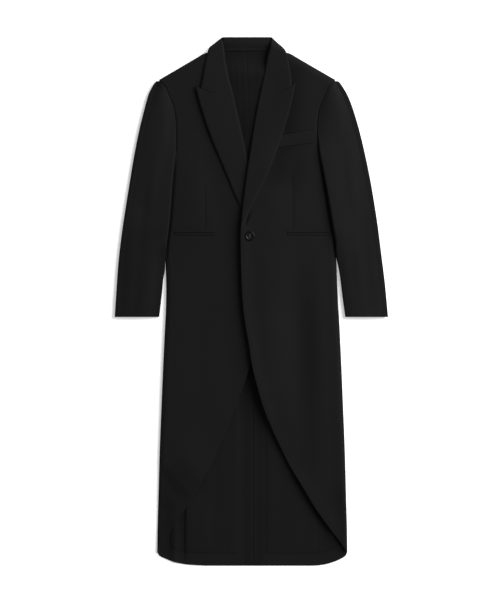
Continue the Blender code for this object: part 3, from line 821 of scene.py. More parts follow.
@dataclass(frozen=True)
class ClothFinish:
    """A woven cloth: its colour, gloss, sheen and weave, with each seam line and each band of painted shade
    and light in one piece of it.
    """

    name: str
    colour: tuple[float, float, float]
    roughness: float
    specular: float
    sheen: float
    sheen_roughness: float
    rib: float
    slope: float
    relief: float
    unevenness: float
    seams_and_painted_shading: tuple[SeamOrPaintedShading, ...] = ()

    def material(self, effects: Effects) -> bpy.types.Material:
        """The cloth's material, which reads the weave UV map and Object coordinates.

        Args:
            effects: The shared node groups.

        Returns:
            The material.
        """
        made, s, shader = new_finish(self.name, self.colour)
        weave = s.add("UVMap", uv_map="weave").outputs["UV"]
        place = s.add("TexCoord").outputs["Object"]
        twill = s.add("Group", node_tree=effects.twill, Place=weave, Rib=self.rib * MM, Slope=self.slope)
        nap = s.add("Group", node_tree=effects.nap, Place=place, Amount=self.unevenness)
        tone, height = nap.outputs[0], s.math("MULTIPLY", twill.outputs[0], self.relief)
        for seam in self.seams_and_painted_shading:
            ends = {"From": (*Vector(seam.start) * MM, 0), "To": (*Vector(seam.end) * MM, 0)}
            mask = s.add("Group", node_tree=effects.seam, Place=place, Width=seam.width * MM, **ends)
            line = mask.outputs[0]
            # A seam darkens its own line; a band darkens the base colour as painted shade, or lightens it as
            # painted light where its shade is below 0.
            tone = s.math("MULTIPLY", tone, s.math("MULTIPLY_ADD", line, -seam.shade, 1.0))
            height = s.math("SUBTRACT", height, s.math("MULTIPLY", line, seam.depth))
        s.feed(
            shader, Base_Color=s.scaled(self.colour, tone), Normal=s.relief(height, 1.0, MM),
            Roughness=self.roughness, Specular_IOR_Level=self.specular, Sheen_Weight=self.sheen,
            Sheen_Roughness=self.sheen_roughness,
        )
        return made


@dataclass(frozen=True)
class HornFinish:
    """Polished dark horn with faint mottling."""

    name: str = "horn_button"
    dark: tuple[float, float, float] = (0.0015, 0.0015, 0.0015)
    light: tuple[float, float, float] = (0.0045, 0.004, 0.0036)
    roughness: float = 0.32
    wear: float = 0.12
    specular: float = 0.1

    def material(self) -> bpy.types.Material:
        """The button's material.

        Returns:
            The material.
        """
        made, s, shader = new_finish(self.name, self.dark)
        noise = s.noise(s.add("TexCoord").outputs["Object"], 260.0, Detail=3.0, Distortion=1.2)
        colours = {"i0": s.ease(noise, 0.4, 0.7), "i6": (*self.dark, 1), "i7": (*self.light, 1)}
        mottled = s.add("Mix", data_type="RGBA", **colours).outputs[2]
        worn = s.math("MULTIPLY_ADD", noise, self.wear, self.roughness - self.wear / 2)
        s.feed(shader, Base_Color=mottled, Specular_IOR_Level=self.specular, Roughness=worn)
        return made


@dataclass(frozen=True)
class ThreadFinish:
    """Black sewing silk with a slight twist."""

    name: str = "black_thread"
    colour: tuple[float, float, float] = (0.014, 0.014, 0.015)

    def material(self) -> bpy.types.Material:
        """The thread's material.

        Returns:
            The material.
        """
        made, s, shader = new_finish(self.name, self.colour)
        twist = s.noise(s.add("TexCoord").outputs["Object"], 2600.0, Detail=1.0)
        normal = s.relief(twist, 0.5, 0.1 * MM)
        s.feed(shader, Base_Color=(*self.colour, 1), Roughness=0.5, Sheen_Weight=0.1, Normal=normal)
        return made


WOOL = ClothFinish("black_wool", (0.0050, 0.0050, 0.0051), 0.85, 0.065, 0.02, 0.45, 0.8, 2.0, 0.05, 0.22)
SATIN = ClothFinish("black_satin", (0.0042, 0.0042, 0.0043), 0.65, 0.06, 0.0, 0.5, 0.35, 3.0, 0.012, 0.15)


class Wardrobe:
    """The finishes, each made once."""

    def __init__(self) -> None:
        """Makes the finishes."""
        self.effects = Effects()
        self.wool = WOOL.material(self.effects)
        self.horn = HornFinish().material()
        self.thread = ThreadFinish().material()

    def sewn_with_painted_shading(self, cloth: ClothFinish, name: str, *seams_and_painted_shading: SeamOrPaintedShading) -> bpy.types.Material:
        """A cloth with its own seam lines and its painted shade and light."""
        return replace(cloth, name=name, seams_and_painted_shading=seams_and_painted_shading).material(self.effects)


# ---------------------------------------------------------------- sub-assemblies


@dataclass
class SubAssembly:
    """A part of the coat, on the coat's form and in its finishes."""

    form: CoatForm
    wardrobe: Wardrobe


@dataclass
class Back(SubAssembly):
    """The two halves of the back, the side panels and the back lining, all resting on the surface."""

    vent_top_y: float = -140.0
    vent_seam_y: float = -225.0
    hem_notch_y: float = -692.0
    vent_facing: float = 35.0
    hem_facing: float = 31.0
    lining_in: float = 20.0
    lining_over: float = 5.0
    lining_wall: float = 0.7
    vent_shift: float = 3.4
    corner_rise: float = 3.0
    neck_rise: float = 10.0
    neck_tilt: float = 0.05
    roll_rise: float = 4.2
    under_roll: float = 12.0
    # Painted shade in the skirts' inside corners by the hem, where the fronts' edges shade them.
    corner_painted_shade: Sided[tuple[SeamOrPaintedShading, ...]] = Sided(
        (SeamOrPaintedShading((202, -618), (232, -646), 25, 0.0, 0.3),),
        (SeamOrPaintedShading((-192, -565), (-212, -650), 34, 0.0, 0.28),),
    )
    # Painted shade over the neck's left side and under the stand, painted light down the middle of the neck,
    # and the centre seam's line.
    neck_seam_and_painted_shading: tuple[SeamOrPaintedShading, ...] = (
        SeamOrPaintedShading((-95, 700), (-62, 470), 90, 0.0, 0.3), SeamOrPaintedShading((-75, 645), (50, 645), 46, 0.0, 0.34),
        SeamOrPaintedShading((0, 595), (-2, 480), 30, 0.0, -0.14), SeamOrPaintedShading((-12, 660), (-9.4, 560), 1.6, 0.25, 0.3),
    )
    # Painted shade on the lining: the shadow beside the left front's lower edge, and darker towards the right
    # corner by the hem.
    lining_bands: Sided[tuple[SeamOrPaintedShading, ...]] = Sided(
        (SeamOrPaintedShading((112, -462), (197, -596), 20, 0.0, 0.4),),
        (SeamOrPaintedShading((-170, -560), (-110, -690), 80, 0.0, 0.11),),
    )

    def build(self) -> None:
        """Makes every piece of both sides."""
        for side in Side:
            self._half(side)
            self._side_panel(side)
            self._lining(side)

    def _half(self, side: Side) -> None:
        """Half the back, from the centre seam or vent to the side-back seam and the armhole.

        Args:
            side: The side of the coat.
        """
        f = self.form

        def place(u: Array, level: Array) -> Points:
            """The face, by column and level.

            Args:
                u: Columns of the grid.
                level: Rows before they are bent, as Y in mm.

            Returns:
                X, Y and Z of each point, in mm.
            """
            bottom = f.hems[side].read("y", u * f.back_outer(np.array(f.hem_y)))
            top = f.shoulder.read("y", u * f.shoulder_tip_half)
            y = f.row_height(level, bottom, top)
            half = u * (f.back_outer(level) + f.seam_gap)
            shift = self.vent_shift * (1 - u) * smooth((-60 - y) / 120)
            return f.world_x(side, half, y) + shift, y, f.back_raise(half, y) + self._corner(side, half, y)

        above_step = f.armpit_y + ARMPIT_STEP
        rows = joined(
            steps(f.hem_y, f.armpit_y), steps(f.armpit_y, above_step, 1), steps(above_step, f.shoulder_tip_y)
        )
        vent_x = self.vent_shift + 2.3
        # The vent's line, and a band of painted shade that darkens the strip beside the vent.
        vent, vent_strip_painted_shade = (
            SeamOrPaintedShading((x, self.hem_notch_y), (x, self.vent_seam_y), *look)
            for x, look in ((vent_x, (2.6, 0.3, 0.5)), (vent_x + side.value * 17, (22, 0.0, 0.24)))
        )
        finish = self.wardrobe.sewn_with_painted_shading(WOOL, f"wool_back_{side.label}", vent, vent_strip_painted_shade)
        columns = np.linspace(0, 1, 46)
        ClothPiece(f"back_{side.label}", columns, rows, place, face_up=False, edge_round=0.3).build(finish)

    def _corner(self, side: Side, half: Array, y: Array) -> Array:
        """How the skirt's corner is raised near the hem, where it shows inside: a step at the seam.

        Args:
            side: The side of the coat.
            half: Half widths, in mm.
            y: Places along, in mm.

        Returns:
            The rise, in mm.
        """
        low = 1 - smooth((y + 570) / 80)
        if side is Side.LEFT:
            return 0.5 * self.corner_rise * smooth((half - 184) / 46) * low
        step = smooth((half - 90) / 80) * smooth((179 - half) / 7) * smooth((y + 700) / 60)
        return self.corner_rise * (step + 0.8 * bell((half - 204) / 9)) * low

    def _side_panel(self, side: Side) -> None:
        """The side panel, from the side-back seam on the surface up to the side fold.

        Args:
            side: The side of the coat.
        """
        f = self.form

        def place(u: Array, level: Array) -> Points:
            """The face, by column and level.

            Args:
                u: Columns of the grid.
                level: Rows before they are bent, as Y in mm.

            Returns:
                X, Y and Z of each point, in mm.
            """
            outer = f.body_side.read("half", level)
            seam_z = f.side_mid_z(side, level) - f.seam_gap
            roll = f.rounded(self.under_roll, seam_z)
            flat = outer - roll - f.side_seam(level)
            angle = quarter_turn(2 * u - 1)
            level_part = f.side_seam(level) + flat * u / 0.5
            half = np.where(u <= 0.5, level_part, outer - roll * (1 - np.sin(angle)))
            y = f.row_height(level, f.hems[side].read("y", half), f.shoulder_tip_y)
            turned = (1 - np.cos(angle)) * seam_z
            return f.world_x(side, half, y), y, np.maximum(turned, self._corner(side, half, y))

        columns = joined(np.linspace(0, 0.5, 18), np.linspace(0.5, 1, 11))
        rows = steps(f.hem_y, f.armpit_y)
        finish = self.wardrobe.sewn_with_painted_shading(WOOL, f"wool_side_{side.label}", *self.corner_painted_shade[side])
        ClothPiece(f"side_{side.label}", columns, rows, place, face_up=False, edge_round=0.3).build(finish)

    def _lining(self, side: Side) -> None:
        """The back lining, which shows in the neck and between the skirts, short of the hem and the vent.

        Args:
            side: The side of the coat.
        """
        f = self.form

        def outer_half(level: Array) -> Array:
            """Half width of the outer edge.

            Args:
                level: Rows before they are bent, as Y in mm.

            Returns:
                The half widths, in mm.
            """
            narrowing = 14 * smooth((f.hem_bend_y + 20 - level) / 180)
            below = f.body_side.read("half", level) - self.lining_in - narrowing
            armhole = f.back_outer(np.maximum(level, 390)) - 5 - 9 * smooth((level - 480) / 70)
            above = smooth((level - 320) / 60)
            return blend(below, armhole, above)

        def place(u: Array, level: Array) -> Points:
            """The face, by column and level.

            Args:
                u: Columns of the grid.
                level: Rows before they are bent, as Y in mm.

            Returns:
                X, Y and Z of each point, in mm.
            """
            bottom = f.hems[side].read("y", u * 228) + self.hem_facing
            top = f.shoulder.read("y", u * 205) + self.lining_over - 32 * smooth((u - 0.3) / 0.3)
            y = f.row_height(level, bottom, top)
            inner = self.vent_facing * (1 - smooth((level - self.vent_top_y + 14) / 14))
            half = inner + u * (outer_half(level) - inner)
            x = f.world_x(side, half, y)
            lift = 1.2 * f.collar_lift(half, y + 20)
            z = np.maximum(lift, f.back_raise(half, y)) + f.shell + 0.1 + self.lining_wall
            held = smooth(np.maximum(half - inner, level - self.vent_top_y) / 5) * smooth((y - bottom) / 5)
            z = z - 0.5 * (1 - held)
            return x, y, z + self._corner(side, half, y) + self._ease(side, x, y, half)

        below_top = self.vent_top_y - 14
        rows = joined(
            steps(f.hem_y, below_top), steps(below_top, self.vent_top_y, 1.5),
            steps(self.vent_top_y, f.shoulder_tip_y),
        )
        seam = [(side.value * half, y) for half, y in ((178, -694), (172, -500), (150, 300))]
        finish = self.wardrobe.sewn_with_painted_shading(
            SATIN,
            f"lining_{side.label}",
            *(SeamOrPaintedShading(start, end, 1.8, 0.2) for start, end in zip(seam, seam[1:])),
            *self.neck_seam_and_painted_shading,
            *self.corner_painted_shade[side],
            *self.lining_bands[side],
        )
        ClothPiece(
            f"back_lining_{side.label}", np.linspace(0, 1, 56), rows, place, wall=self.lining_wall,
            edge_round=0.3, slot="lining", rests_on=(f"back_{side.label}_cloth",),
        ).build(finish)

    def _ease(self, side: Side, x: Array, y: Array, half: Array) -> Array:
        """The lining's loose ripples, which its facings and hem hold down.

        Args:
            side: The side of the coat; not used.
            x: Places across, in mm.
            y: Places along, in mm.
            half: Half widths, in mm.

        Returns:
            The rise, in mm.
        """
        ripple = 0.5 * np.sin(x / 9 + y / 130) + 0.35 * np.sin(x / 5.5 - y / 210 + 1.3)
        free = smooth((half - self.vent_facing) / 14) * smooth((y + 672) / 50)
        up = smooth((y - 200) / 150)
        rise = self.neck_rise + self.neck_tilt * np.clip(x + 12, -60, 70)
        neck = rise * up * (1 - smooth((half - 70) / 50))
        lines = 0.12 * np.sin(x / 2.6 + y / 300) * up
        roll_x = self.form.edges[Side.LEFT].read("x", y)
        under_roll = self.roll_rise * up * bell((x - roll_x) / 28)
        return (0.2 * (ripple + 0.7) * free + neck + lines + under_roll) * smooth((650 - y) / 60)


@dataclass
class Fronts(SubAssembly):
    """The two fronts, each from its edge or the lapel's fold out to the side, the armhole and the shoulder."""

    flat_share: float = 0.7
    roll_turn_in: float = 1.0
    armhole_dip: float = 2.0
    armhole_roll_share: float = 0.45
    sleeve_groove: float = 4.5
    lowest: float = -652.0
    welt_mouth: tuple[Spot, Spot] = ((78.0, 435.0), (162.0, 450.2))
    darts: Sided[tuple[float, float, float]] = Sided((108.3, 189.0, 338.0), (-120.6, 189.0, 305.0))
    # Painted shade: beside the left lapel's edge, at both skirts' lower corners, and a dark spot below the
    # left lapel's end, with a slight groove there.
    bands: Sided[tuple[SeamOrPaintedShading, ...]] = Sided(
        (
            SeamOrPaintedShading((106, 600), (76, 335), 56, 0.0, 0.42), SeamOrPaintedShading((215, -520), (228, -650), 60, 0.0, 0.18),
            SeamOrPaintedShading((-14, 203), (-6, 229), 7, 0.3, 0.4),
        ),
        (SeamOrPaintedShading((-205, -470), (-225, -600), 75, 0.0, 0.24),),
    )

    def build(self) -> None:
        """Makes both fronts."""
        for side in Side:
            self._front(side)

    def _front(self, side: Side) -> None:
        """One front.

        Args:
            side: The side of the coat.
        """
        f = self.form
        neck_y = float(f.shoulder.read("y", f.neck_half))
        share = self.flat_share

        def inner_end(level: Array) -> tuple[Array, Array]:
            """X and Y of a level's inner end.

            Args:
                level: Rows before they are bent, as Y in mm.

            Returns:
                X and Y, in mm.
            """
            y = f.towards_shoulder(level, neck_y)
            inset = (f.shell + f.seam_gap + self.roll_turn_in) * smooth((y - 190) / 16)
            roll_x = f.edges[side].read("x", y) + side.value * inset
            neck = smooth((y - f.neck_turn_y) / (neck_y - f.neck_turn_y))
            return blend(roll_x, f.world_x(side, f.neck_half, y), neck), y

        def place(u: Array, level: Array) -> Points:
            """The face, by column and level.

            Args:
                u: Columns of the grid.
                level: Rows before they are bent, as Y in mm.

            Returns:
                X, Y and Z of each point, in mm.
            """
            inner_x, inner_y = inner_end(level)
            inner_half = f.half_of(side, inner_x, inner_y)
            outer_half = f.front_outer(side, level)
            seam_z = f.side_mid_z(side, level)
            open_edge = smooth((level - f.armpit_y) / 45)
            turned_in = f.rounded(self._side_roll(side, level), seam_z)
            roll = np.minimum(turned_in, 0.6 * (outer_half - inner_half))
            head = smooth((level - 470) / 70)
            roll = roll * (1 - (1 - self.armhole_roll_share * (1 - 0.5 * head)) * open_edge)
            flat_half = outer_half - roll
            angle = quarter_turn((u - share) / (1 - share))
            flat = blend(inner_half, flat_half, u / share)
            half = np.where(u <= share, flat, flat_half + roll * np.sin(angle))
            y = blend(inner_y, level, (half - inner_half) / (outer_half - inner_half))
            follow = smooth((level - 500) / (f.shoulder_tip_y - 500))
            tilted = f.shoulder.read("y", half) - (f.shoulder.read("y", outer_half) - level)
            y = blend(y, tilted, follow)
            x = f.world_x(side, half, y)
            height = f.front_height(side, x, y) + self._details(side, x, y)
            end_z = blend(seam_z, height - self.armhole_dip * (1 - 0.6 * head), open_edge)
            z = blend(end_z, height, np.cos(angle))
            inside = f.shoulder_distance(half, y)
            return x, y, blend(f.shoulder_seam_z, z, quarter(inside / f.shoulder_roll))

        columns = joined(np.linspace(0, share, 62), np.linspace(share, 1, 13))
        near_tip = f.shoulder_tip_y - 12
        rows = joined(steps(self.lowest, near_tip), steps(near_tip, f.shoulder_tip_y, 1.5))
        dart_x, low, high = self.darts[side]
        seams_and_painted_shading = [SeamOrPaintedShading((dart_x, low), (dart_x, high), 2.0, 0.3)]
        if side is Side.LEFT:
            # The chest pocket's mouth: a slight groove, with painted shade along it.
            seams_and_painted_shading.append(SeamOrPaintedShading(*self.welt_mouth, 2.0, 0.4, 0.35))
        finish = self.wardrobe.sewn_with_painted_shading(WOOL, f"wool_front_{side.label}", *seams_and_painted_shading, *self.bands[side])
        over = (f"back_lining_{side.label}_cloth", f"side_{side.label}_cloth")
        ClothPiece(f"front_{side.label}", columns, rows, place, rests_on=over).build(finish)

    def _side_roll(self, side: Side, level: Array) -> Array:
        """How far in the front starts to turn down at its side."""
        wider = 18 if side is Side.RIGHT else 6
        return self.form.side_roll + wider * smooth((-250 - level) / 200)

    def _details(self, side: Side, x: Array, y: Array) -> Array:
        """The dart channels, the dip under the sleeve and the pull round the fastened button.

        Args:
            side: The side of the coat.
            x: Places across, in mm.
            y: Places along, in mm.

        Returns:
            What they add to the height, in mm.
        """
        half = self.form.half_of(side, x, y)
        under_sleeve = smooth((half - self.form.sleeve_inner(side, y) + 8) / 9)
        window = smooth((y - 95) / 40) * (1 - smooth((y - 330) / 60))
        total = -self.sleeve_groove * under_sleeve * window
        dart_x, low, high = self.darts[side]
        length = smooth((y - low + 4) / 8) * smooth((high - y) / 60)
        total = total - 0.7 * bell((x - dart_x) / 4.5) * length
        if side is Side.LEFT:
            dx, dy = x - BUTTON_AT[0], y - BUTTON_AT[1]
            spread = np.abs(dx) + 20
            pull = bell((dy - 0.35 * dx) / (0.35 * spread)) - bell((dy + 0.3 * dx) / (0.4 * spread))
            total = total + 0.5 * pull * bell((x - 25) / 45)
        return total


@dataclass
class Sleeves(SubAssembly):
    """The set-in two-piece sleeves, lying over the body's sides."""

    fold_reach: float = 5.0
    head_fold_reach: float = 1.8
    head_ys: Sided[float] = Sided(478.0, 440.0)
    fold_rises: Sided[Spot] = Sided((6.2, 2.9), (4.0, 2.6))  # along the arm, and at the head
    outer_roll: float = 13.0
    seam_z: float = 9.0
    crown_edge_shares: Sided[float] = Sided(0.48, 0.68)
    crown_shares: Sided[float] = Sided(0.78, 0.74)
    # Painted light over broad parts of both sleeves; painted shade near the left sleeve's head, on the right
    # cuff and along the right sleeve's lower inner edge, where the body shades it.
    bands: Sided[tuple[SeamOrPaintedShading, ...]] = Sided(
        (
            SeamOrPaintedShading((205, 450), (300, -40), 58, 0.0, -0.17),
            SeamOrPaintedShading((262, 130), (305, -60), 62, 0.0, -0.11), SeamOrPaintedShading((243, 560), (264, 440), 32, 0.0, 0.1),
        ),
        (
            SeamOrPaintedShading((-246, 520), (-286, 230), 75, 0.0, -0.26),
            SeamOrPaintedShading((-290, 60), (-302, -60), 56, 0.0, 0.13),
            SeamOrPaintedShading((-225, 135), (-242, -60), 26, 0.0, 0.4),
        ),
    )
    wrap_fall: float = 26.0
    wrap_length: float = 28.0
    wrap_least: float = 30.0
    creases: Sided[tuple[Fold, ...]] = Sided(
        (
            Fold(262, 330, 120, 16, 1.6, 6), Fold(300, 120, 150, 16, -0.7, 5), Fold(322, 40, 110, 14, 0.8, 4),
            Fold(268, 60, 90, 12, -1.0, 8), Fold(232, 470, 60, 10, 1.0, 4), Fold(300, 235, 26, 60, -0.8, 60),
        ),
        (
            Fold(-290, 160, 150, 16, -1.2, -5), Fold(-318, 60, 120, 14, 0.5, -4),
            Fold(-300, 20, 60, 14, -1.0, -10), Fold(-255, 330, 130, 15, 1.4, -6),
            Fold(-228, 450, 60, 10, 1.2, -4), Fold(-292, 250, 26, 60, -0.7, -55),
        ),
    )

    def build(self) -> None:
        """Makes both sleeves."""
        for side in Side:
            self._top(side)
            self._under(side)

    def _wrap_full(self, y: Array) -> Array:
        """Half width of the inseam below the armpit, on the surface beyond the body's side.

        Args:
            y: Places along, in mm.

        Returns:
            The half widths, in mm.
        """
        f = self.form
        beyond_body = f.body_side.read("half", y) + self.wrap_length
        return np.maximum(beyond_body, f.sleeve.read("inner", y) + self.wrap_least)

    def _top(self, side: Side) -> None:
        """The top sleeve, from its inseam underneath, round the inner fold and over to the outer seam.

        Args:
            side: The side of the coat.
        """
        f = self.form
        table = f.sleeve

        def place(u: Array, y: Array) -> Points:
            """The face, by column and Y.

            Args:
                u: Columns of the grid.
                y: Places along, in mm.

            Returns:
                X, Y and Z of each point, in mm.
            """
            inner, outer = f.sleeve_inner(side, y), table.read("outer", y)
            under, crown = table.read("under", y), self.crown_shares[side] * table.read("crown", y)
            at_head = smooth((y - self.head_ys[side]) / 70)
            fold = np.minimum(blend(self.fold_reach, self.head_fold_reach, at_head), 0.3 * (outer - inner))
            roll = np.minimum(self.outer_roll, 0.4 * (outer - inner))
            fold_rise = blend(*self.fold_rises[side], smooth((y - 370) / 90))
            over_fold = under + 2 * fold_rise
            over_roll = np.maximum(self.crown_edge_shares[side] * crown, self.seam_z + 3)
            reach = np.clip((y - 300) / 100, 0, 1)
            wrap_end = blend(self._wrap_full(y), inner + self.fold_reach + 1.5, reach)
            wrap_half = blend(inner + fold, wrap_end, np.clip(-u, 0, 1))
            beyond = (wrap_half - f.body_side.read("half", y)) / self.wrap_fall
            turn = math.pi * np.clip(u, 0, 1)
            share = np.clip(u - 1, 0, 1)
            over = quarter_turn(u - 2)
            level_line = blend(over_fold, over_roll, share)
            crowned = np.maximum(crown - (over_fold + over_roll) / 2, 0) * 4 * share * (1 - share)
            parts = [u < 0, u <= 1, u <= 2]
            halves = [wrap_half, inner + fold * (1 - np.sin(turn)), blend(inner + fold, outer - roll, share)]
            half = np.select(parts, halves, outer - roll * (1 - np.sin(over)))
            heights = [
                under * (1 - smooth(beyond)), under + fold_rise * (1 - np.cos(turn)), level_line + crowned,
            ]
            z = np.select(parts, heights, blend(self.seam_z, over_roll, np.cos(over)))
            x = f.arm_x(side, half, y)
            upper = smooth((u - 0.7) / 0.5) * (1 - smooth((u - 2.2) / 0.6))
            for crease in self.creases[side]:
                z = z + crease.rise(x, y) * upper
            return x, y, z

        columns = joined(*(np.linspace(k - 1, k, count) for k, count in enumerate((13, 17, 29, 11))))
        low, high = table.columns["y"][[0, -1]]
        rows = joined(steps(low, high - 8), steps(high - 8, high, 1.5))
        over = (f"front_{side.label}_cloth", f"sleeve_under_{side.label}_cloth")
        finish = self.wardrobe.sewn_with_painted_shading(WOOL, f"wool_sleeve_{side.label}", *self.bands[side])
        ClothPiece(f"sleeve_top_{side.label}", columns, rows, place, rests_on=over).build(finish)

    def _under(self, side: Side) -> None:
        """The under sleeve, flat on the surface from the inseam or the back armhole to the outer seam.

        Args:
            side: The side of the coat.
        """
        f = self.form

        def inner_edge(y: Array) -> Array:
            """Half width of the inner edge.

            Args:
                y: Places along, in mm.

            Returns:
                The half widths, in mm.
            """
            clear = self._wrap_full(y) + f.seam_gap
            at_armpit = f.body_side.read("half", y) + 1
            below = blend(clear, at_armpit, smooth((y - 316) / (f.armpit_y - 316)))
            return np.where(y > f.armpit_y + 0.5, f.back_armhole.read("half", y), below)

        def place(u: Array, y: Array) -> Points:
            """The face, by column and Y.

            Args:
                u: Columns of the grid.
                y: Places along, in mm.

            Returns:
                X, Y and Z of each point, in mm.
            """
            inner, outer = inner_edge(y), f.sleeve.read("outer", y)
            roll = np.minimum(self.outer_roll, 0.6 * (outer - inner))
            angle = quarter_turn(u - 1)
            half = np.where(u <= 1, blend(inner, outer - roll, u), outer - roll * (1 - np.sin(angle)))
            head = 1 - quarter((f.shoulder_tip_y - y) / f.shoulder_roll)
            z = np.maximum(head, 1 - np.cos(angle)) * (self.seam_z - f.seam_gap)
            return f.arm_x(side, half, y), y, z

        columns = joined(np.linspace(0, 1, 18), np.linspace(1, 2, 11))
        low, high = f.sleeve.columns["y"][[0, -1]]
        armpit, above_step = f.armpit_y + ARMPIT_STEP / 2, f.armpit_y + ARMPIT_STEP
        rows = joined(steps(low, armpit), steps(armpit, above_step, 1), steps(above_step, high))
        under = ClothPiece(f"sleeve_under_{side.label}", columns, rows, place, face_up=False)
        under.build(self.wardrobe.wool)


@dataclass
class Collar(SubAssembly):
    """The lapels, the collar's outer leaf and the stand inside the back neck."""

    lapel_rolls: Sided[float] = Sided(5.0, 9.0)
    lapel_roll_share: float = 0.35
    lapel_edge_share: float = 0.85
    # Painted shade along the right lapel's roll and the collar's fold, which tones down their lit edge.
    roll_painted_shade: Sided[tuple[SeamOrPaintedShading, ...]] = Sided(
        (),
        (
            SeamOrPaintedShading((-42, 519), (-3, 345), 5, 0.0, 0.34), SeamOrPaintedShading((-42, 519), (-69, 640), 5, 0.0, 0.34),
        ),
    )
    lapel_end_y: float = 192.0
    gorge_gap: float = 0.5
    gorge_lap: float = 1.4
    edge_drop: float = 1.8
    edge_drop_widths: Sided[float] = Sided(8.0, 5.5)
    stand_top_y: float = 691.7
    stand_depth: float = 35.5
    stand_half: float = 61.0
    stand_crown_z: float = 12.2
    stand_wall: float = 1.6
    rise: Table = Table("y z", ((200, 0.3), (250, 2), (345, 3), (440, 6.5), (600, 6.8)))
    edges: Sided[Table] = both("y x", (
        (192, -26.6), (199, -24.5), (206, -20.5), (213, -15), (234, -5), (258, 6.5), (277, 16.5), (302, 29.5),
        (340, 46), (394, 67), (449, 86), (501, 101), (528, 108), (554, 113.5), (572, 116),
    ), (
        (192, 6), (213, -9), (234, -22), (262, -36.5), (292, -49.5), (322, -61.5), (355, -75.6), (386, -88.5),
        (423, -103.5), (457, -116), (507, -132), (543, -142.5), (566, -147.5),
    ))
    gorge: Sided[dict[str, Spot]] = Sided(
        {"roll": (17.0, 519.0), "notch": (106.0, 560.0), "tip": (116.0, 571.0)},
        {"roll": (-42.0, 519.0), "notch": (-134.5, 558.0), "tip": (-147.5, 565.5)},
    )
    leaf: Table = Table("step fold_x fold_y fold_z crown_z turn edge_x edge_y edge_z", (
        (0.0, -42, 519.6, 20.5, 25.6, 9, -133.4, 558.4, 28),
        (1.0, -50.8, 556, 20.5, 25.8, 9, -128.8, 579, 28), (2.0, -62, 598, 20.3, 25.8, 7.6, -124.4, 603, 28),
        (3.0, -68.5, 637, 19.5, 25.6, 6.4, -119.2, 628, 27), (4.0, -72.5, 666, 16, 24, 5, -115.2, 649, 25),
        (4.6, -76, 683, 12, 16, 4.4, -113, 659, 20), (5.2, -78, 690.3, 9, 9, 3.9, -105.5, 668, 9),
        (5.8, -74, 691.7, 7, 2, 3.9, -95, 656, 1.5), (6.5, -60, 692, 6.5, 0, 3.9, -70, 644, 0),
        (7.5, -12, 692, 6.5, 0, 3.9, -12, 641, 0), (8.5, 36, 692, 6.5, 0, 3.9, 46, 644, 0),
        (9.2, 50, 691.7, 7, 2, 3.9, 71, 656, 1.5), (9.8, 54, 690.3, 9, 9, 3.9, 77.5, 668, 9),
        (10.4, 52, 683, 12, 16, 4.4, 86.8, 659, 20), (11.0, 48.5, 666, 16, 24, 5, 92, 649, 26),
        (12.0, 41, 637, 19.5, 25.6, 6, 97, 628, 27.5), (13.0, 33.5, 598, 20.3, 25.8, 5.8, 102, 603, 28.5),
        (14.0, 24.6, 556, 20.5, 25.8, 5.4, 104.8, 579, 28.5),
        (15.0, 17, 519.6, 20.5, 25.6, 5.4, 105.6, 560.4, 28.5),
    ))

    def build(self) -> None:
        """Makes the lapels, the leaf and the stand."""
        for side in Side:
            self._lapel(side)
        self._fall()
        self._stand()

    @staticmethod
    def _across(u: Array, turn: Array, width: Array) -> Array:
        """Distance from the fold line: column 1 is where the turn ends and column 2 the free edge."""
        return np.where(u <= 1, turn * (1 - np.cos(quarter_turn(u))), blend(turn, width, u - 1))

    def _lapel(self, side: Side) -> None:
        """A lapel, folded back along the roll line on to the chest.

        Args:
            side: The side of the coat.
        """
        f = self.form
        roll_top, notch, tip = (np.array(self.gorge[side][key]) for key in ("roll", "notch", "tip"))
        slope = (notch[1] - roll_top[1]) / (notch[0] - roll_top[0])
        line_tip_y = roll_top[1] + slope * (tip[0] - roll_top[0])
        notch_share = (notch[0] - roll_top[0]) / (tip[0] - roll_top[0])
        clear = f.shell + 2 * f.seam_gap

        def place(u: Array, v: Array) -> Points:
            """The face, by its shares across and along.

            Args:
                u: Columns of the grid.
                v: Rows of the grid.

            Returns:
                X, Y and Z of each point, in mm.
            """
            roll_y = blend(self.lapel_end_y, roll_top[1] - 0.05, v)
            edge_y = blend(self.lapel_end_y, line_tip_y, v)
            roll_x = f.edges[side].read("x", roll_y)
            edge_x = self.edges[side].read("x", edge_y)
            width = np.abs(edge_x - roll_x)
            turn = np.minimum(self.lapel_rolls[side], 0.5 * width)
            across = self._across(u, turn, width)
            share = across / width
            x, y = blend(roll_x, edge_x, share), blend(roll_y, edge_y, share)
            beyond = np.maximum(share - notch_share, 0) / (1 - notch_share)
            lapped = 1 - smooth((share - 0.45) / 0.2)
            top = smooth((v - 0.85) / 0.15)
            at_gorge = (self.gorge_lap * lapped - self.gorge_gap * share) * v**12
            y = y + (tip[1] - line_tip_y) * beyond * top + at_gorge
            rise = self.rise.read("z", roll_y)
            base = f.front_height(side, roll_x, roll_y) + clear
            over = f.front_height(side, x, y) + clear + self.lapel_edge_share * rise
            low = base - f.shell - 1
            rolled = blend(low, base + self.lapel_roll_share * rise, quarter(across / turn))
            near_edge = (across - width) / self.edge_drop_widths[side] + 1
            dropped = self.edge_drop * smooth(near_edge / 2) * 2 + 0.3 * lapped * v**60
            return x, y, blend(rolled, over, np.clip(u - 1, 0, 1)) - dropped

        columns = joined(np.linspace(0, 1, 13), np.linspace(1, 1.92, 27), np.linspace(1.92, 2, 9))
        rows = joined(np.linspace(0, 0.97, 86), np.linspace(0.97, 1, 9))
        finish = self.wardrobe.sewn_with_painted_shading(WOOL, f"wool_lapel_{side.label}", *self.roll_painted_shade[side])
        ClothPiece(
            f"lapel_{side.label}", columns, rows, place, edge_round=0.35,
            rests_on=(f"front_{side.label}_cloth",),
        ).build(finish)

